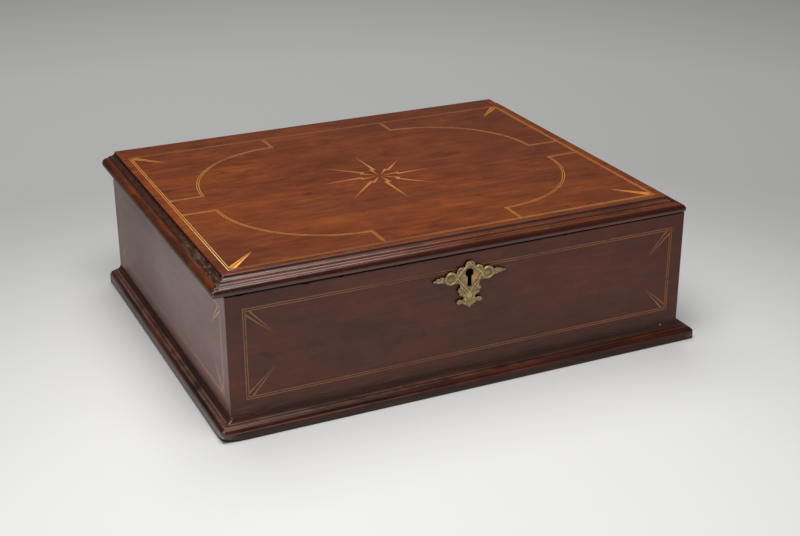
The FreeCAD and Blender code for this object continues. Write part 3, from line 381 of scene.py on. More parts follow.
def metal(name, tones, shift, metallic, gloss, dress=None):
    """Old metal: rubbed bright on its edges, tarnished elsewhere, grimy in its hollows."""
    clean, dull, grime = tones
    g = Graph(name)
    patches = g.noise(g.stretched((140, 140, 140), (shift, shift, shift)), 4, 0.6)
    fine = g.noise(g.stretched((1300, 1300, 1300)), 2, 0.6)
    stains = g.noise(g.stretched((420, 420, 420), (7.0, shift, 3.0)), 3)
    normal, edge = g.eased(0.5 * MM)
    colour = g.mix(g.spread(patches, 0.47, 0.65), paint(clean), paint(dull))
    colour = g.tinted(colour, grime, g.spread(stains, 0.55, 0.7, 0.0, 0.55))
    colour = g.tinted(colour, clean, g.spread(edge, 0.02, 0.3, 0.0, 0.6))
    colour = g.tinted(colour, darker(grime, 0.5), g.spread(g.hollow(1.6 * MM), 0.3, 0.75, 0.0, 0.9))
    if dress:
        colour = dress(g, colour)
    rough = g.spread(patches, 0.3, 0.7, gloss - 0.08, gloss + 0.16)
    return g.finish(Base_Color=colour, Metallic=metallic, Roughness=rough,
                    Normal=g.bump(fine, 0.12, 0.1 * MM, normal))


# In millimetres to the right of the keyhole's middle and up: a patch rubbed to gold, and the faces of the
# two bosses, with their radius and tone.
GOLD_PATCH = (5.6, -3.4)
BOSS_FACES = ((-16.9, -2.9, 3.4, (134, 112, 96)), (17.9, -2.9, 2.7, (98, 84, 52)))


def cast_brass(name):
    """Escutcheon's brass: cream on the raised work, olive below it, dark on its sides, green at its tips."""
    g = Graph(name)
    height = g.math("SUBTRACT", KEYHOLE.y, g.y)
    normal = g.node("ShaderNodeNewGeometry").outputs["Normal"]
    facing = g.math("ABSOLUTE", g.node("ShaderNodeSeparateXYZ", {"Vector": normal}).outputs["Y"])
    patches = g.noise(g.stretched((230, 230, 230)), 4, 0.65)
    fine = g.noise(g.stretched((1500, 1500, 1500)), 2, 0.6)
    stains = g.noise(g.stretched((520, 520, 520), (7.0, 1.0, 3.0)), 3)
    raised = g.math("ADD", height, g.times(g.math("SUBTRACT", patches, 0.5), 0.9 * MM))
    colour = g.ramp(g.spread(raised, 1.4 * MM, 3.1 * MM), (0.0, rgb(CAST_GROUND)), (0.25, rgb(CAST_LOW)),
                    (0.5, rgb(CAST_RAISED)), (1.0, rgb(CAST_HIGH)))
    from_gold = g.away_from(KEYHOLE + Vector((GOLD_PATCH[0], 0, GOLD_PATCH[1])) * MM)
    colour = g.tinted(colour, CAST_GOLD, g.spread(from_gold, 2.0 * MM, 5.6 * MM, 0.75, 0.0))
    for across, up, radius, tone in BOSS_FACES:
        from_middle = g.away_from(KEYHOLE + Vector((across, -2.0, up)) * MM)
        face = g.spread(from_middle, (radius - 0.6) * MM, (radius + 0.2) * MM, 0.8, 0.0)
        colour = g.tinted(colour, tone, face)
    tips = g.spread(g.math("ABSOLUTE", g.math("SUBTRACT", g.x, KEYHOLE.x)), 21 * MM, 25 * MM, 0.0, 0.6)
    colour = g.tinted(colour, CAST_TIP, tips, g.spread(stains, 0.35, 0.6))
    colour = g.tinted(colour, CAST_STAIN, g.spread(stains, 0.54, 0.68, 0.0, 0.65))
    colour = g.tinted(colour, CAST_HOLLOW, g.spread(g.hollow(1.4 * MM), 0.3, 0.65, 0.0, 0.9))
    colour = g.tinted(colour, CAST_SIDE, g.spread(facing, 0.25, 0.6, 0.9, 0.0))
    rough = g.spread(patches, 0.3, 0.7, 0.36, 0.56)
    return g.finish(Base_Color=colour, Metallic=0.6, Roughness=rough,
                    Normal=g.bump(fine, 0.25, 0.12 * MM))


# Dress of single pieces: what years of use have left on them, and some painted light and shade, laid over the
# wood, inlay or metal.

def near_mitre(g, edges, reach):
    """1 on the front mitres of the strips that meet at these edges, 0 beyond the reach in millimetres."""
    left, right, front = edges
    out = g.math("SUBTRACT", front, g.y)
    at_left = g.math("ABSOLUTE", g.math("SUBTRACT", g.math("SUBTRACT", left, g.x), out))
    at_right = g.math("ABSOLUTE", g.math("SUBTRACT", g.math("SUBTRACT", g.x, right), out))
    nearest = g.math("MINIMUM", at_left, g.times(at_right, 1.8))
    return g.spread(nearest, 0.2 * reach * MM, reach * MM, 1.0, 0.0)


def worn_mitres(g, colour, edges, reach):
    """Bare wood where the mitres are rubbed, less so at the right."""
    chips = g.noise(g.stretched((700, 700, 700), (2.0, 5.0, 1.0)), 3, 0.6)
    worn = g.times(near_mitre(g, edges, reach), g.spread(chips, 0.46, 0.56))
    return g.tinted(colour, BARE_WOOD, worn, g.spread(g.x, 0.0, 0.1, 1.0, 0.25))


def with_flat_top(g, colour):
    """A strip's flat top carries on the figure of the lid's board."""
    low, high = LID_FLAT
    board = figured(g, "x", LID_TONES, 0.0, LID_FLECKS, LID_CLOUDS)
    return g.mix(g.spread(g.z, low * MM, high * MM), colour, board.colour)


def dress_lid(g, colour):
    """Dark line between the pair of pale ones at the left, a few stains, and painted shade, darker and
    greyer, on the far corner.
    """
    between = g.times(g.within(g.x, lid_low.x + LINE_WIDTH, lid_low.x + LINE_PITCH, 0.06 * MM),
                      g.within(g.y, -150.0 * MM, 150.0 * MM, 0.1 * MM),
                      g.spread(g.y, -100 * MM, 0.0, 0.95, 0.25))
    colour = g.tinted(colour, BETWEEN_LINES, between)
    # painted shade on the far corner
    colour = g.tinted(colour, FAR_CORNER_SHADE, g.spread(g.math("ADD", g.x, g.y), -0.1, 0.36, 0.0, 0.6))
    colour = g.tinted(colour, LEFT_END, g.spread(g.x, -0.09, -0.19, 0.0, 0.25))
    blush = g.noise(g.stretched((24, 62, 40), (9.0, 4.0, 0.0)), 3, 0.6)
    colour = g.tinted(colour, BLUSH_DARK, g.spread(blush, 0.52, 0.68, 0.0, 0.36))
    colour = g.tinted(colour, BLUSH_LIGHT, g.spread(blush, 0.46, 0.3, 0.0, 0.32))
    stains = g.noise(g.stretched((30, 46, 40), (2.4, 8.1, 0.0)), 3, 0.55)
    return g.tinted(colour, LID_STAIN, g.spread(stains, 0.66, 0.76, 0.0, 0.6))


def dress_lid_strip(g, colour):
    """Grime and painted shade at the top of the cove and in the quirk, a painted highlight on the steps,
    painted shade on the belly, worn mitres and a flat top like the lid.
    """
    cove = g.band(LID_COVE_TOP, 0.25)
    g.dullness = cove
    # grime and painted shade at the top of the cove, less towards the right
    colour = g.tinted(colour, GRIME_AND_SHADE, cove, g.spread(g.x, 0.0, 0.18, 0.92, 0.6))
    # painted highlight on the steps below the cove, varied by the mottle
    step_highlight_share = g.spread(g.figure.mottle, 0.4, 0.6, 0.25, 0.6)
    colour = g.tinted(colour, STEP_HIGHLIGHT, g.band(LID_STEPS, 0.3), step_highlight_share)
    # grime and painted shade in the quirk
    colour = g.tinted(colour, GRIME_AND_SHADE, g.band(LID_QUIRK, 0.08), 0.92)
    # painted shade on the nose's lower half
    colour = g.tinted(colour, BELLY_SHADE, g.band(LID_BELLY, 0.4), 0.75)
    return with_flat_top(g, worn_mitres(g, colour, LID_EDGES, 1.3))


def dress_lid_end(g, colour):
    """Hollow dirty and in painted shade at its black top, dusty near the front left corner, with a painted
    highlight line between it and the nose.
    """
    hollow = g.band(LID_HOLLOW, 0.2)
    g.dullness = hollow
    specks = g.noise(g.stretched((330, 120, 330), (1.0, 3.0, 5.0)), 3, 0.6)
    dusty = g.times(g.spread(specks, 0.46, 0.58), g.spread(g.y, -120 * MM, -40 * MM, 0.95, 0.15),
                    g.spread(g.z, 134.2 * MM, 133.0 * MM, 0.1, 1.0), g.spread(g.x, 0.0, 0.1, 1.0, 0.1))
    # the hollow's colour: grime and painted shade, black at its top, brown lower down, with streaks and dust
    dirt = g.mix(g.spread(g.z, 133.8 * MM, 132.6 * MM), paint(HOLLOW_TOP_DIRT_AND_SHADE), paint(HOLLOW_BROWN))
    dirt = g.tinted(dirt, HOLLOW_STREAK, g.spread(g.figure.streaks, 0.5, 0.62, 0.0, 0.7))
    dirt = g.tinted(dirt, HOLLOW_DUST, dusty, 0.8)
    colour = g.mix(g.times(hollow, 0.92), colour, dirt)
    blots = g.spread(specks, 0.56, 0.66, 0.0, 0.7)
    colour = g.tinted(colour, NOSE_BLOT, blots, g.spread(g.z, 130.2 * MM, 129.9 * MM))
    # painted highlight line between the hollow and the nose
    colour = g.tinted(colour, NOSE_HIGHLIGHT, g.band(LID_NOSE_HIGHLIGHT, 0.06), 0.4)
    colour = g.tinted(colour, NOSE_SHADE, g.spread(g.z, 128.4 * MM, 126.0 * MM, 0.0, 0.6))
    return with_flat_top(g, worn_mitres(g, colour, LID_EDGES, 1.3))


def dress_base_strip(g, colour):
    """Long streaks, a grimy cove, a foot darker downwards, grime and painted shade in the quirk, worn arrises
    with painted highlights, and worn mitres.
    """
    mottle = g.figure.mottle
    lines = g.noise(g.stretched((11, 11, 620), (3.0, 1.0, 7.0)), 3, 0.6)
    streak = g.mix(g.spread(g.x, -0.1, 0.1), paint(RED_STREAK), paint(BROWN_STREAK))
    colour = g.mix(g.spread(lines, 0.53, 0.63, 0.0, 0.5), colour, streak)
    colour = g.tinted(colour, DARK_STREAK, g.spread(lines, 0.47, 0.39, 0.0, 0.7))
    cove = g.band(BASE_COVE, 0.06)
    g.dullness = cove
    colour = g.tinted(colour, COVE_DIRT, cove, g.spread(lines, 0.38, 0.6, 0.85, 0.5))
    # grime and painted shade in the base's quirk
    colour = g.tinted(colour, GRIME_AND_SHADE, g.band(BASE_QUIRK, 0.1), 0.85)
    # worn arrises with painted highlights, fading towards the right where the light fades
    fading = g.times(g.spread(mottle, 0.36, 0.56, 0.1, 0.6), g.spread(g.x, -0.1, 0.12, 1.0, 0.15))
    for arris in BASE_ARRISES:
        colour = g.tinted(colour, ARRIS_WEAR_AND_HIGHLIGHT, g.band(arris, 0.1), fading)
    # darker towards the bottom of the foot
    foot = g.spread(g.z, 4.0 * MM, 7.6 * MM, 0.75, 0.1)
    colour = g.tinted(colour, FOOT_DARKENING, foot, g.spread(mottle, 0.3, 0.7, 1.0, 0.55))
    # scuffed front corner, with a painted grey reflection of the table
    scuff = g.times(near_mitre(g, WALLS, 16.0), g.band(BASE_SCUFF_AND_REFLECTION, 1.0))
    colour = g.tinted(colour, CORNER_SCUFF_AND_REFLECTION, scuff, g.spread(mottle, 0.46, 0.6, 0.0, 0.7))
    return worn_mitres(g, colour, WALLS, 1.7)


def dress_front(g, colour):
    """Dirt and dust above the base moulding, and a painted shadow under the lid over its left half, fading
    out towards the right.
    """
    dirt = g.noise(g.stretched((36, 36, 420), (5.0, 2.0, 9.0)), 3, 0.6)
    low = g.spread(g.z, 17.0 * MM, 28.0 * MM, 0.6, 0.0)
    colour = g.tinted(colour, LOW_DIRT, low, g.spread(dirt, 0.4, 0.58))
    pale = g.times(g.spread(g.z, 18.0 * MM, 26.0 * MM, 0.6, 0.0), g.spread(dirt, 0.46, 0.38))
    colour = g.tinted(colour, LOW_DUST, pale, g.spread(g.x, -0.14, -0.06, 1.0, 0.2))
    # painted shadow under the lid, over the left half and fading out to the right
    high = g.times(g.spread(g.z, 121.0 * MM, 121.5 * MM), g.spread(g.x, 0.0, 0.15, 0.9, 0.0))
    return g.tinted(colour, UNDER_LID_SHADOW, high, g.spread(g.y, -168.0 * MM, -169.2 * MM))


def dress_lid_lines(g, colour):
    """Brightest at the left, almost hidden under the polish along the front."""
    left = g.spread(g.x, -198.0 * MM, -200.0 * MM)
    colour = g.tinted(colour, LEFT_LINE, left, 0.8)
    near = g.spread(g.y, -115 * MM, -20 * MM, 1.0, 0.0)
    colour = g.tinted(colour, LEFT_LINE_BRIGHT, left, near, 0.9)
    inner = g.spread(g.x, -203.3 * MM, -202.6 * MM)
    colour = g.tinted(colour, LEFT_LINE_INNER, left, inner, 0.6)
    colour = g.tinted(colour, BACK_LINE, g.spread(g.y, 144.0 * MM, 147.0 * MM, 0.0, 0.8))
    colour = g.tinted(colour, RIGHT_LINE, g.spread(g.x, 0.1, 0.19, 0.0, 0.6))
    front = g.times(g.spread(g.y, -144.0 * MM, -147.5 * MM), g.spread(g.x, -70 * MM, 70 * MM, 1.0, 0.0),
                    g.spread(g.x, -201.0 * MM, -198.5 * MM))
    colour = g.tinted(colour, FRONT_LINE, front, 0.72)
    outer = g.spread(g.y, -149.0 * MM, -149.4 * MM, 1.0, 0.0)
    return g.tinted(colour, FRONT_LINE_HIDDEN, front, outer, 0.6)


def dress_lid_darts(g, colour):
    """Dimmer at the back; the sliver nearer the front border is paler in the left one."""
    colour = g.tinted(colour, DART_BACK, g.spread(g.y, 0.0, 0.12, 0.0, 0.5))
    from_seam = [g.math("SUBTRACT", g.x, DART_SEAM[0]), g.math("SUBTRACT", g.y, DART_SEAM[1])]
    past = g.math("SUBTRACT", *from_seam)
    return g.tinted(colour, DART_PALER, g.spread(past, -0.2 * MM, 0.2 * MM),
                    g.spread(g.y, -100 * MM, -90 * MM, 0.7, 0.0), g.spread(g.x, -0.1, 0.0, 1.0, 0.0))


def dress_case_lines(g, colour):
    """Olive at the left end, orange at the right end."""
    colour = g.tinted(colour, CASE_LINE_OLIVE, g.spread(g.x, -120 * MM, -190 * MM, 0.0, 0.6))
    return g.tinted(colour, CASE_LINE_ORANGE, g.spread(g.x, 60 * MM, 150 * MM, 0.0, 0.75))


def dress_left_lines(g, colour):
    """Clear near the front corner, nearly lost towards the back."""
    return g.tinted(colour, SIDE_LINE_LOST, g.spread(g.y, -0.13, 0.0, 0.0, 0.72))


def dress_nails(g, colour):
    """Stained as dark as the wood, but for a painted glint on the nail head near the right end."""
    # painted glint on the nail head near the right end
    clean = g.times(g.spread(g.x, 0.18, 0.19), g.spread(g.y, -0.16, -0.165))
    return g.mix(clean, paint(STAINED_NAIL), paint(NAIL_GLINT))


def repaint(nodes, material):
    for name in nodes:
        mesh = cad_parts[name].data
        mesh.materials.clear()
        mesh.materials.append(material)


repaint(["lid_board"],
        wood("lid_mahogany", "x", LID_TONES, 0.0, gloss=0.3, specular=0.22, flecks=LID_FLECKS,
             clouds=LID_CLOUDS, dress=dress_lid))
repaint(["front_board"],
        wood("front_mahogany", "x", CASE_TONES, 2.0, gloss=0.34, flecks=0.3, dress=dress_front))
repaint(["back_board"], wood("back_mahogany", "x", CASE_TONES, 6.0, gloss=0.5))
repaint(["left_side"], wood("left_mahogany", "y", LEFT_TONES, 3.0, gloss=0.34, specular=0.9))
repaint(["right_side"], wood("right_mahogany", "y", CASE_TONES, 4.0))
repaint(["drawer_front"], wood("drawer_mahogany", "y", CASE_TONES, 5.0))
repaint(["lid_moulding_front"],
        wood("lid_front_strip", "x", MOULDING_TONES, 7.0, gloss=0.19, specular=0.68, dress=dress_lid_strip))
repaint(["lid_moulding_left", "lid_moulding_right"],
        wood("lid_end_strip", "y", END_TONES, 8.0, gloss=0.3, specular=0.16, dress=dress_lid_end))
repaint(["base_moulding_front"],
        wood("base_front_strip", "x", BASE_TONES, 9.0, gloss=0.28, specular=0.3, dress=dress_base_strip))
repaint(["base_moulding_left", "base_moulding_right"],
        wood("base_end_strip", "y", BASE_TONES, 10.0, gloss=0.28, specular=0.3, dress=dress_base_strip))
repaint(["till_partition", "drawer_stops"], wood("till_mahogany", "y", CASE_TONES, 11.0, gloss=0.5))
repaint(["till_cross_partition"], wood("till_cross_mahogany", "x", CASE_TONES, 12.0, gloss=0.5))
repaint(["corner_splines"], wood("spline_mahogany", "z", CASE_TONES, 13.0))
repaint(["dust_board", "drawer_back", "drawer_partition", "drawer_bottom"],
        wood("secondary_y", "y", PINE_TONES, 14.0, gloss=0.6, specular=0.3, flecks=0.3))
repaint(["bottom_board", "drawer_side_near", "drawer_side_far", "drawer_runner_front", "drawer_runner_back",
         "drawer_guide_front", "drawer_guide_back"],
        wood("secondary_x", "x", PINE_TONES, 15.0, gloss=0.6, specular=0.3, flecks=0.3, clouds=0.6))
repaint(["lid_border", "lid_scallops"], inlay("lid_stringing", LID_LINE, LID_LINE_DIM, 0.4, dress_lid_lines))
repaint(["lid_star"], inlay("star_picking", STAR, STAR_DIM, 0.45))
repaint(["lid_darts"], inlay("dart_picking", DART, DART_DIM, 0.3, dress_lid_darts))
repaint(["front_border", "front_darts", "right_border", "right_darts", "drawer_border"],
        inlay("case_stringing", CASE_LINE, CASE_LINE_DIM, 0.5, dress_case_lines))
repaint(["left_border", "left_darts"],
        inlay("left_stringing", SIDE_LINE, SIDE_LINE_DIM, 0.3, dress_left_lines, specular=0.9))
repaint(["escutcheon", "escutcheon_pins", "hinge_case_leaves", "hinge_lid_leaves", "hinge_pins",
         "drawer_knob", "drawer_knob_nut", "drawer_locking_pin", "link_plate"],
        metal("old_brass", BRASS_TONES, 0.0, metallic=0.7, gloss=0.4))
repaint(["lock_case", "lock_cap", "lock_key_pin", "lock_bolt", "lock_bolt_spring", "lock_screws",
         "link_plate_screws", "hinge_case_screws", "hinge_lid_screws"],
        metal("old_iron", IRON_TONES, 3.0, metallic=0.8, gloss=0.45))
repaint(["base_nails"], metal("nail_iron", IRON_TONES, 5.0, metallic=0.4, gloss=0.5, dress=dress_nails))


# Pieces

def link(name, data):
    made = bpy.data.objects.new(name, data)
    bpy.context.scene.collection.objects.link(made)
    return made


def as_mesh(name, shape):
    """Mesh made from a finished shape, which is then freed."""
    mesh = bpy.data.meshes.new(name)
    shape.to_mesh(mesh)
    shape.free()
    return mesh


def everything(shape):
    return shape.verts[:] + shape.edges[:] + shape.faces[:]


def smooth_shaded(mesh):
    mesh.polygons.foreach_set("use_smooth", [True] * len(mesh.polygons))


def apply_modifier(made, kind, **settings):
    """Put the result of one modifier in place of the object's mesh."""
    modifier = made.modifiers.new(kind.lower(), kind)
    for key, value in settings.items():
        setattr(modifier, key, value)
    bpy.context.view_layer.update()
    evaluated = made.evaluated_get(bpy.context.evaluated_depsgraph_get())
    mesh = bpy.data.meshes.new_from_object(evaluated)
    made.modifiers.clear()
    old = made.data
    made.data = mesh
    bpy.data.meshes.remove(old)


# Wear of the moulding strips
WELD = 0.002 * MM
CUT_SPACING = 3.0 * MM
CUT_WELD = 0.001 * MM
UNWORN = 0.3 * MM  # this near the lid's flat top or the case's walls, a strip stays as it was
FACE_WEAR = 0.1 * MM
MITRE_WEAR = 0.45 * MM
MITRE_REACH = 2.5 * MM
BASE_STANDS_OUT = 11.5 * MM
CORNER_LIFT = 4.2 * MM  # how far the base's front left corner is rubbed up from the table
CORNER_MOVE = Vector((0.25, 0.25, 1.0))
CORNER_REACH = 20 * MM
CORNER_HEIGHT = 9 * MM
SHARP_ANGLE = math.radians(32)


def face_wear(place):
    """How far inwards a strip's face has worn: gentle waves and finer scuffs."""
    wave = noise.noise(place * 38)
    scuff = noise.noise(place * 210)
    return FACE_WEAR * max(0.0, 0.35 + 0.55 * wave + 0.2 * scuff)


def mitre_wear(place, edges):
    """How far inwards the nearer front mitre has worn."""
    left, right, front = edges
    out = front - place.y
    away = min(abs(left - place.x - out), abs(place.x - right - out)) / math.sqrt(2)
    return MITRE_WEAR * max(0.0, 1 - away / MITRE_REACH) * max(0.0, 0.4 + noise.noise(place * 520))


def corner_wear(place, edges, lift):
    """Where the foot of the front left corner has been rubbed to, up and inwards."""
    left, right, front = edges
    corner = Vector((left - BASE_STANDS_OUT, front - BASE_STANDS_OUT))
    away = (Vector((place.x, place.y)) - corner).length
    share = max(0.0, 1 - away / CORNER_REACH) ** 1.5 * max(0.0, 1 - place.z / CORNER_HEIGHT)
    return CORNER_MOVE * lift * share


def cut_across(shape, node, along):
    """Cut a strip across every few millimetres, so that its faces can take the wear."""
    axis = "xyz".index(along)
    low, high = (corner[axis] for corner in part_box(node))
    direction = Vector([float(i == axis) for i in range(3)])
    steps = round((high - low) / CUT_SPACING)
    for i in range(1, steps):
        middle = direction * (low + (high - low) * i / steps)
        bmesh.ops.bisect_plane(shape, geom=everything(shape), dist=CUT_WELD, plane_co=middle,
                               plane_no=direction)


def worn_strip(node, body, along, edges, corner_lift):
    """Copy of a moulding strip with worn faces, mitres and, on the base, a worn corner."""
    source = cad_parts[node].data
    shape = bmesh.new()
    shape.from_mesh(source)
    bmesh.ops.remove_doubles(shape, verts=shape.verts, dist=WELD)
    cut_across(shape, node, along)
    shape.normal_update()
    left, right, front = edges
    moves = []
    for v in shape.verts:
        beyond = max(left - v.co.x, v.co.x - right, front - v.co.y)
        if beyond < UNWORN:
            continue
        move = v.normal * -(face_wear(v.co) + mitre_wear(v.co, edges))
        if corner_lift:
            move += corner_wear(v.co, edges, corner_lift)
        moves.append((v, move))
    for v, move in moves:
        v.co += move
    mesh = as_mesh("worn_" + node, shape)
    smooth_shaded(mesh)
    mesh.set_sharp_from_angle(angle=SHARP_ANGLE)
    for material in source.materials:
        mesh.materials.append(material)
    made = link("worn_" + node, mesh)
    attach(made, body)
    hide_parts(node)


# Chips out of the front board's top front edge, in millimetres: place along it, half width and half depth;
# then how far each reaches into the board, and the line of their middles in y and z
CHIPS = ((-146.2, 3.6, 1.3), (-116.6, 1.8, 0.9), (-202.0, 2.6, 0.8), (-64.0, 1.6, 0.6), (92.0, 2.2, 0.6))
CHIP_REACH = 2.4
CHIP_MIDDLE = (-170.2, 122.1)
CHIP_ROUGHNESS = 0.25 * MM
noise.seed_set(1)  # without a seed, noise_vector draws from the clock and each run gives other chips


def chipped_front():
    """Front board with chips out of its top front edge."""
    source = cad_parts["front_board"].data
    made = link("chipped_front_board", source.copy())
    shape = bmesh.new()
    for x, half_width, depth in CHIPS:
        size = Matrix.Diagonal((half_width * MM, CHIP_REACH * MM, depth * MM, 1))
        place = Matrix.Translation(Vector((x, *CHIP_MIDDLE)) * MM)
        chip = bmesh.ops.create_icosphere(shape, subdivisions=3, radius=1, matrix=place @ size)
        for v in chip["verts"]:
            v.co += CHIP_ROUGHNESS * noise.noise_vector(v.co * 700)
    chips = link("chips", as_mesh("chips", shape))
    apply_modifier(made, "BOOLEAN", operation="DIFFERENCE", object=chips, solver="EXACT")
    bpy.data.objects.remove(chips)
    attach(made, "case")
    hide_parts("front_board")


for strip, along in (("front", "x"), ("left", "y"), ("right", "y")):
    worn_strip("lid_moulding_" + strip, "lid", along, LID_EDGES, 0.0)
    worn_strip("base_moulding_" + strip, "case", along, WALLS, CORNER_LIFT)
chipped_front()


# Escutcheon, drawn in millimetres from the keyhole's middle: x to the right, z up, and height out from the
# front board. What is mirrored is given for the right side, where s is 1; on the left, s is -1.

OUTLINE = (
    (0, 11.0), (1.6, 10.7), (2.9, 9.8), (3.9, 8.4), (4.6, 7.0), (5.0, 6.0), (6.3, 6.4), (8.0, 6.6),
    (9.8, 6.2), (11.3, 5.1), (12.2, 3.4), (12.6, 1.6), (13.3, 1.9), (14.6, 3.0), (16.6, 3.7), (18.8, 3.6),
    (20.8, 2.6), (22.3, 1.0), (23.0, -0.4), (24.0, 0.2), (25.6, 0.7), (27.4, 0.4), (28.4, -0.5),
    (29.2, 0.0), (30.8, -0.3), (31.8, -1.4), (33.0, -1.6), (34.6, -2.8), (33.0, -3.6), (31.6, -3.5),
    (30.4, -4.5), (28.6, -4.9), (27.6, -4.6), (26.4, -5.3), (24.6, -5.4), (23.2, -5.2), (21.8, -6.6),
    (19.6, -7.8), (17.0, -8.2), (14.4, -7.9), (12.0, -7.6), (10.4, -8.0), (9.4, -9.2), (8.9, -10.8),
    (9.3, -12.2), (10.9, -13.0), (11.6, -14.6), (10.9, -16.2), (9.6, -16.6), (10.0, -17.9), (9.2, -19.3),
    (7.6, -19.8), (6.3, -20.4), (5.5, -21.8), (5.6, -23.0), (7.0, -23.2), (8.6, -22.8), (10.4, -23.0),
    (11.8, -24.2), (12.2, -25.6), (11.0, -26.9), (9.0, -27.4), (7.2, -26.9), (5.8, -27.3), (5.0, -28.4),
    (3.8, -28.6), (3.0, -29.8), (1.9, -29.6), (1.2, -30.9), (0, -31.4),
)
PLATE_RISE = 0.6  # added to every drawn height
PLATE_SHIFT = (0.5, -0.6)  # and to every drawn x and z
# Leaves of the tips and of the foot: x, z, radius across, radius up, and tilt in degrees
TIP_LEAVES = ((25.4, -1.2, 2.4, 1.3, -16), (25.6, -3.6, 2.4, 1.2, 14), (29.0, -1.2, 2.0, 1.0, -14),
              (29.2, -3.4, 2.0, 0.9, 16), (32.2, -2.4, 2.2, 0.8, 6))
FOOT_LEAVES = ((7.4, -12.0, 1.2, 3.0, 24), (9.4, -14.6, 1.6, 1.3, 0), (7.9, -17.8, 1.7, 1.1, 30),
               (5.0, -18.4, 1.1, 2.6, 28), (3.8, -23.0, 1.2, 3.2, 14), (4.4, -26.6, 1.2, 1.6, 30))
KEYHOLE_SLOT = ((-2.1, -11.4), (-1.7, -12.3), (1.5, -12.3), (1.8, -11.4))
CAST_VOXEL = 0.24 * MM
PIERCED_VOXEL = 0.2 * MM
CAST_GRAIN = 0.06 * MM
CAST_WAVES = 0.10 * MM


def from_keyhole(x, z, height=0.0):
    return KEYHOLE + Vector((x + PLATE_SHIFT[0], -height - PLATE_RISE, z + PLATE_SHIFT[1])) * MM


def add_slab(shape, points, low, high):
    """Plate over drawn points, between two heights."""
    ring = [shape.verts.new(from_keyhole(x, z, low)) for x, z in points]
    face = shape.faces.new(ring)
    top = bmesh.ops.extrude_face_region(shape, geom=[face])["geom"]
    moved = [v for v in top if isinstance(v, bmesh.types.BMVert)]
    bmesh.ops.translate(shape, verts=moved, vec=Vector((0, low - high, 0)) * MM)


def add_dome(shape, x, z, radius_x, radius_z, height, base, tilt=0.0, segments=16):
    """Half-sunk ellipsoid standing this high above its base."""
    turn = Matrix.Rotation(math.radians(tilt), 4, "Y")
    size = Matrix.Diagonal((radius_x * MM, height * MM, radius_z * MM, 1))
    place = Matrix.Translation(from_keyhole(x, z, base)) @ turn @ size
    bmesh.ops.create_uvsphere(shape, u_segments=segments, v_segments=segments // 2, radius=1, matrix=place)


def spaced(points, spacing):
    """Points this far apart along straight runs."""
    found = []
    for (xa, za), (xb, zb) in zip(points, points[1:]):
        steps = max(1, round(math.hypot(xb - xa, zb - za) / spacing))
        found += [(xa + (xb - xa) * i / steps, za + (zb - za) * i / steps) for i in range(steps)]
    return found + [points[-1]]


def arc(x, z, radius, start, end, steps=14):
    turns = [math.radians(start + (end - start) * i / steps) for i in range(steps + 1)]
    return [(x + radius * math.cos(t), z + radius * math.sin(t)) for t in turns]


def add_cord(shape, points, radius, base, twist=0.0):
    """Bead after bead: a raised line, or a twisted cord where the beads lie aslant."""
    width = radius * (0.55 if twist else 0.9)
    for (xa, za), (xb, zb) in zip(points, points[1:]):
        tilt = math.degrees(math.atan2(xb - xa, zb - za)) + twist
        add_dome(shape, (xa + xb) / 2, (za + zb) / 2, width, radius * 1.3, radius, base, tilt, 8)


def add_relief(shape, s):
    """Raised work of one side: twisted cords, rings and bosses, the tip's leaves and the foot's."""
    add_cord(shape, spaced([(0, 9.2), (s * 12.2, -2.0), (0, -17.4)], 0.95), 0.95, 1.5, s * 35)
    add_cord(shape, spaced([(s * 9.2, -9.4), (0, -20.6)], 0.95), 0.8, 1.4, s * -35)
    add_cord(shape, arc(s * 0.2, 6.6, 3.9, 90 - s * 12, 90 - s * 100), 0.75, 1.5)
    add_cord(shape, arc(s * 8.8, 2.4, 3.1, 90 + s * 60, 90 - s * 170), 0.8, 1.5)
    add_dome(shape, s * 8.8, 2.2, 1.5, 1.5, 1.2, 1.1)
    add_cord(shape, arc(s * 17.4, -2.3, 4.9, 90 + s * 85, 90 - s * 265, 26), 0.95, 1.4)
    add_dome(shape, s * 17.4, -2.3, 3.6, 3.6, 0.7, 1.1)
    for x, z, across, up, tilt in TIP_LEAVES:
        add_dome(shape, s * x, z, across, up, 1.0, 1.2, s * -tilt)
    add_cord(shape, spaced([(s * 22.8, -2.4), (s * 33.6, -2.6)], 1.0), 0.5, 1.7)
    for x, z, across, up, tilt in FOOT_LEAVES:
        add_dome(shape, s * x, z, across, up, 1.1, 1.1, s * tilt)
    add_cord(shape, arc(s * 9.2, -25.2, 1.8, 90 + s * 90, 90 - s * 150), 0.75, 1.3)
    add_cord(shape, spaced([(s * 1.0, -23.4), (s * 2.7, -29.0)], 0.9), 0.6, 1.3)


def keyhole_cutter():
    """Round with a slot that widens downwards."""
    drawn = arc(-0.4, 0.2, 3.85, -62, 242, 44) + list(KEYHOLE_SLOT)
    shape = bmesh.new()
    add_slab(shape, [(x, z - PLATE_SHIFT[1] / 2) for x, z in drawn], -3.0, 6.0)
    bmesh.ops.recalc_face_normals(shape, faces=shape.faces)
    return link("cutter", as_mesh("cutter", shape))


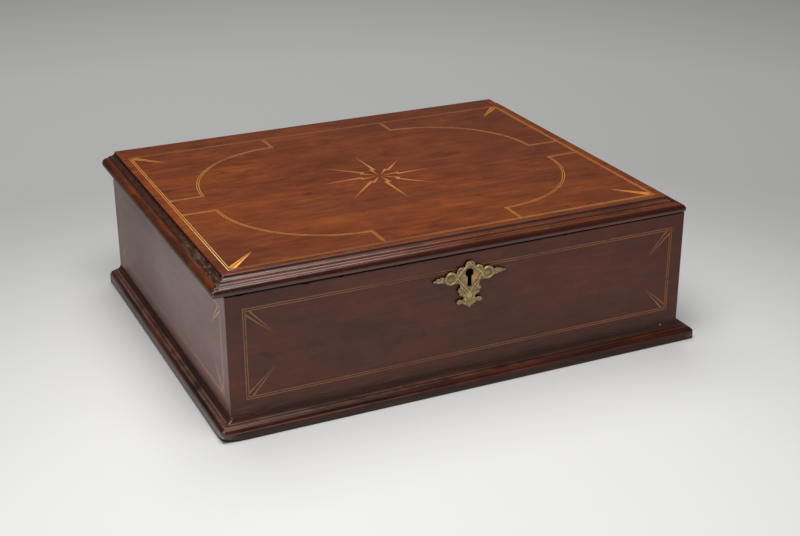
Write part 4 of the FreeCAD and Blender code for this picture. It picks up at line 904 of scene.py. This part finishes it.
def make_escutcheon():
    """Cast and chased plate, its relief run together, then cut flat at the board and pierced for the key."""
    shape = bmesh.new()
    mirrored = [(-x, z) for x, z in reversed(OUTLINE[1:-1])]
    add_slab(shape, list(OUTLINE) + mirrored, -1.6, 1.35)
    add_dome(shape, 0, -3.4, 9.0, 9.0, 0.9, 0.9, segments=24)
    add_dome(shape, 0, -20.0, 3.4, 4.0, 1.2, 1.0)
    add_cord(shape, spaced([(0, -22.0), (0, -30.4)], 0.9), 0.65, 1.4)
    for s in (-1, 1):
        add_relief(shape, s)
    bmesh.ops.recalc_face_normals(shape, faces=shape.faces)
    made = link("escutcheon_cast", as_mesh("escutcheon_cast", shape))
    apply_modifier(made, "REMESH", mode="VOXEL", voxel_size=CAST_VOXEL)
    cutter = keyhole_cutter()
    apply_modifier(made, "BOOLEAN", operation="DIFFERENCE", object=cutter, solver="EXACT")
    bpy.data.objects.remove(cutter)
    apply_modifier(made, "REMESH", mode="VOXEL", voxel_size=PIERCED_VOXEL)
    apply_modifier(made, "SMOOTH", factor=0.5, iterations=1)
    for v in made.data.vertices:
        v.co.y += CAST_GRAIN * noise.noise(v.co * 900)
        v.co.y += CAST_WAVES * noise.noise(v.co * 260)
    shape = bmesh.new()
    shape.from_mesh(made.data)
    cut = bmesh.ops.bisect_plane(shape, geom=everything(shape), dist=1e-7, plane_co=KEYHOLE,
                                 plane_no=(0, 1, 0), clear_outer=True)
    rim = [edge for edge in cut["geom_cut"] if isinstance(edge, bmesh.types.BMEdge)]
    bmesh.ops.holes_fill(shape, edges=rim)
    shape.to_mesh(made.data)
    shape.free()
    smooth_shaded(made.data)
    made.data.materials.clear()
    made.data.materials.append(cast_brass("cast_brass"))
    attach(made, "case")
    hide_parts("escutcheon")


make_escutcheon()


# Stage

FLOOR_REACH = 6
# Painted light and shade on the paper, by distance in metres from a spot in front of the box: bright there,
# darkest behind the box and lighter again far off
PAINTED_LIGHT_SPOT = (-0.15, -0.4, 0.0)
PAPER_PAINTED_LIGHT = ((0.0, 0.87), (0.3, 0.87), (0.48, 0.77), (0.75, 0.57), (0.86, 0.55), (1.35, 0.73),
                (1.7, 0.76))
CAMERA_PLACE = (-0.50859, -1.13023, 0.57671)
CAMERA_TURN = (-24.80, 23.35, -0.22)  # azimuth, elevation and roll in degrees
LENS = 63.60
WORLD_GREY = 0.09


def make_floor():
    shape = bmesh.new()
    bmesh.ops.create_grid(shape, x_segments=1, y_segments=1, size=FLOOR_REACH)
    floor = link("table", as_mesh("table", shape))
    g = Graph("pale_paper")
    farthest = PAPER_PAINTED_LIGHT[-1][0]
    stops = [(away / farthest, (shade, shade, 0.985 * shade)) for away, shade in PAPER_PAINTED_LIGHT]
    # painted pool of light in front of the box and painted shade behind it
    colour = g.ramp(g.spread(g.away_from(PAINTED_LIGHT_SPOT), 0.0, farthest), *stops)
    floor.data.materials.append(g.finish(Base_Color=colour, Roughness=0.6))


def make_lamp(name, place, aim, width, depth, power):
    data = bpy.data.lights.new(name, "AREA")
    data.shape = "RECTANGLE"
    data.size = width
    data.size_y = depth
    data.energy = power
    lamp = link(name, data)
    lamp.location = place
    lamp.rotation_euler = (Vector(aim) - Vector(place)).to_track_quat("-Z", "Y").to_euler()


def make_world():
    world = bpy.data.worlds.new("studio")
    world.use_nodes = True
    background = world.node_tree.nodes["Background"]
    background.inputs["Color"].default_value = (WORLD_GREY, WORLD_GREY, WORLD_GREY, 1)
    background.inputs["Strength"].default_value = 1.0
    bpy.context.scene.world = world


def make_camera():
    """Standing a little left of the box and above it."""
    azimuth, elevation, roll = (math.radians(v) for v in CAMERA_TURN)
    level = math.cos(elevation)
    back = Vector((math.sin(azimuth) * level, -math.cos(azimuth) * level, math.sin(elevation)))
    right = (-back).cross(Vector((0, 0, 1))).normalized()
    up = back.cross(right)
    turned_right = right * math.cos(roll) + up * math.sin(roll)
    turned_up = up * math.cos(roll) - right * math.sin(roll)
    data = bpy.data.cameras.new("camera")
    data.sensor_width = 36
    data.lens = LENS
    camera = link("camera", data)
    turn = Matrix((turned_right, turned_up, back)).transposed().to_4x4()
    camera.matrix_world = Matrix.Translation(CAMERA_PLACE) @ turn
    bpy.context.scene.camera = camera


make_floor()
make_lamp("key", (-0.25, -0.4, 1.2), (-0.1, -0.2, 0), 0.9, 0.8, 12.4)
make_lamp("overhead", (0.1, 0.85, 1.85), (0, 0.2, 0), 1.4, 1.2, 13)
make_world()
make_camera()
bpy.context.scene.view_settings.view_transform = "Standard"
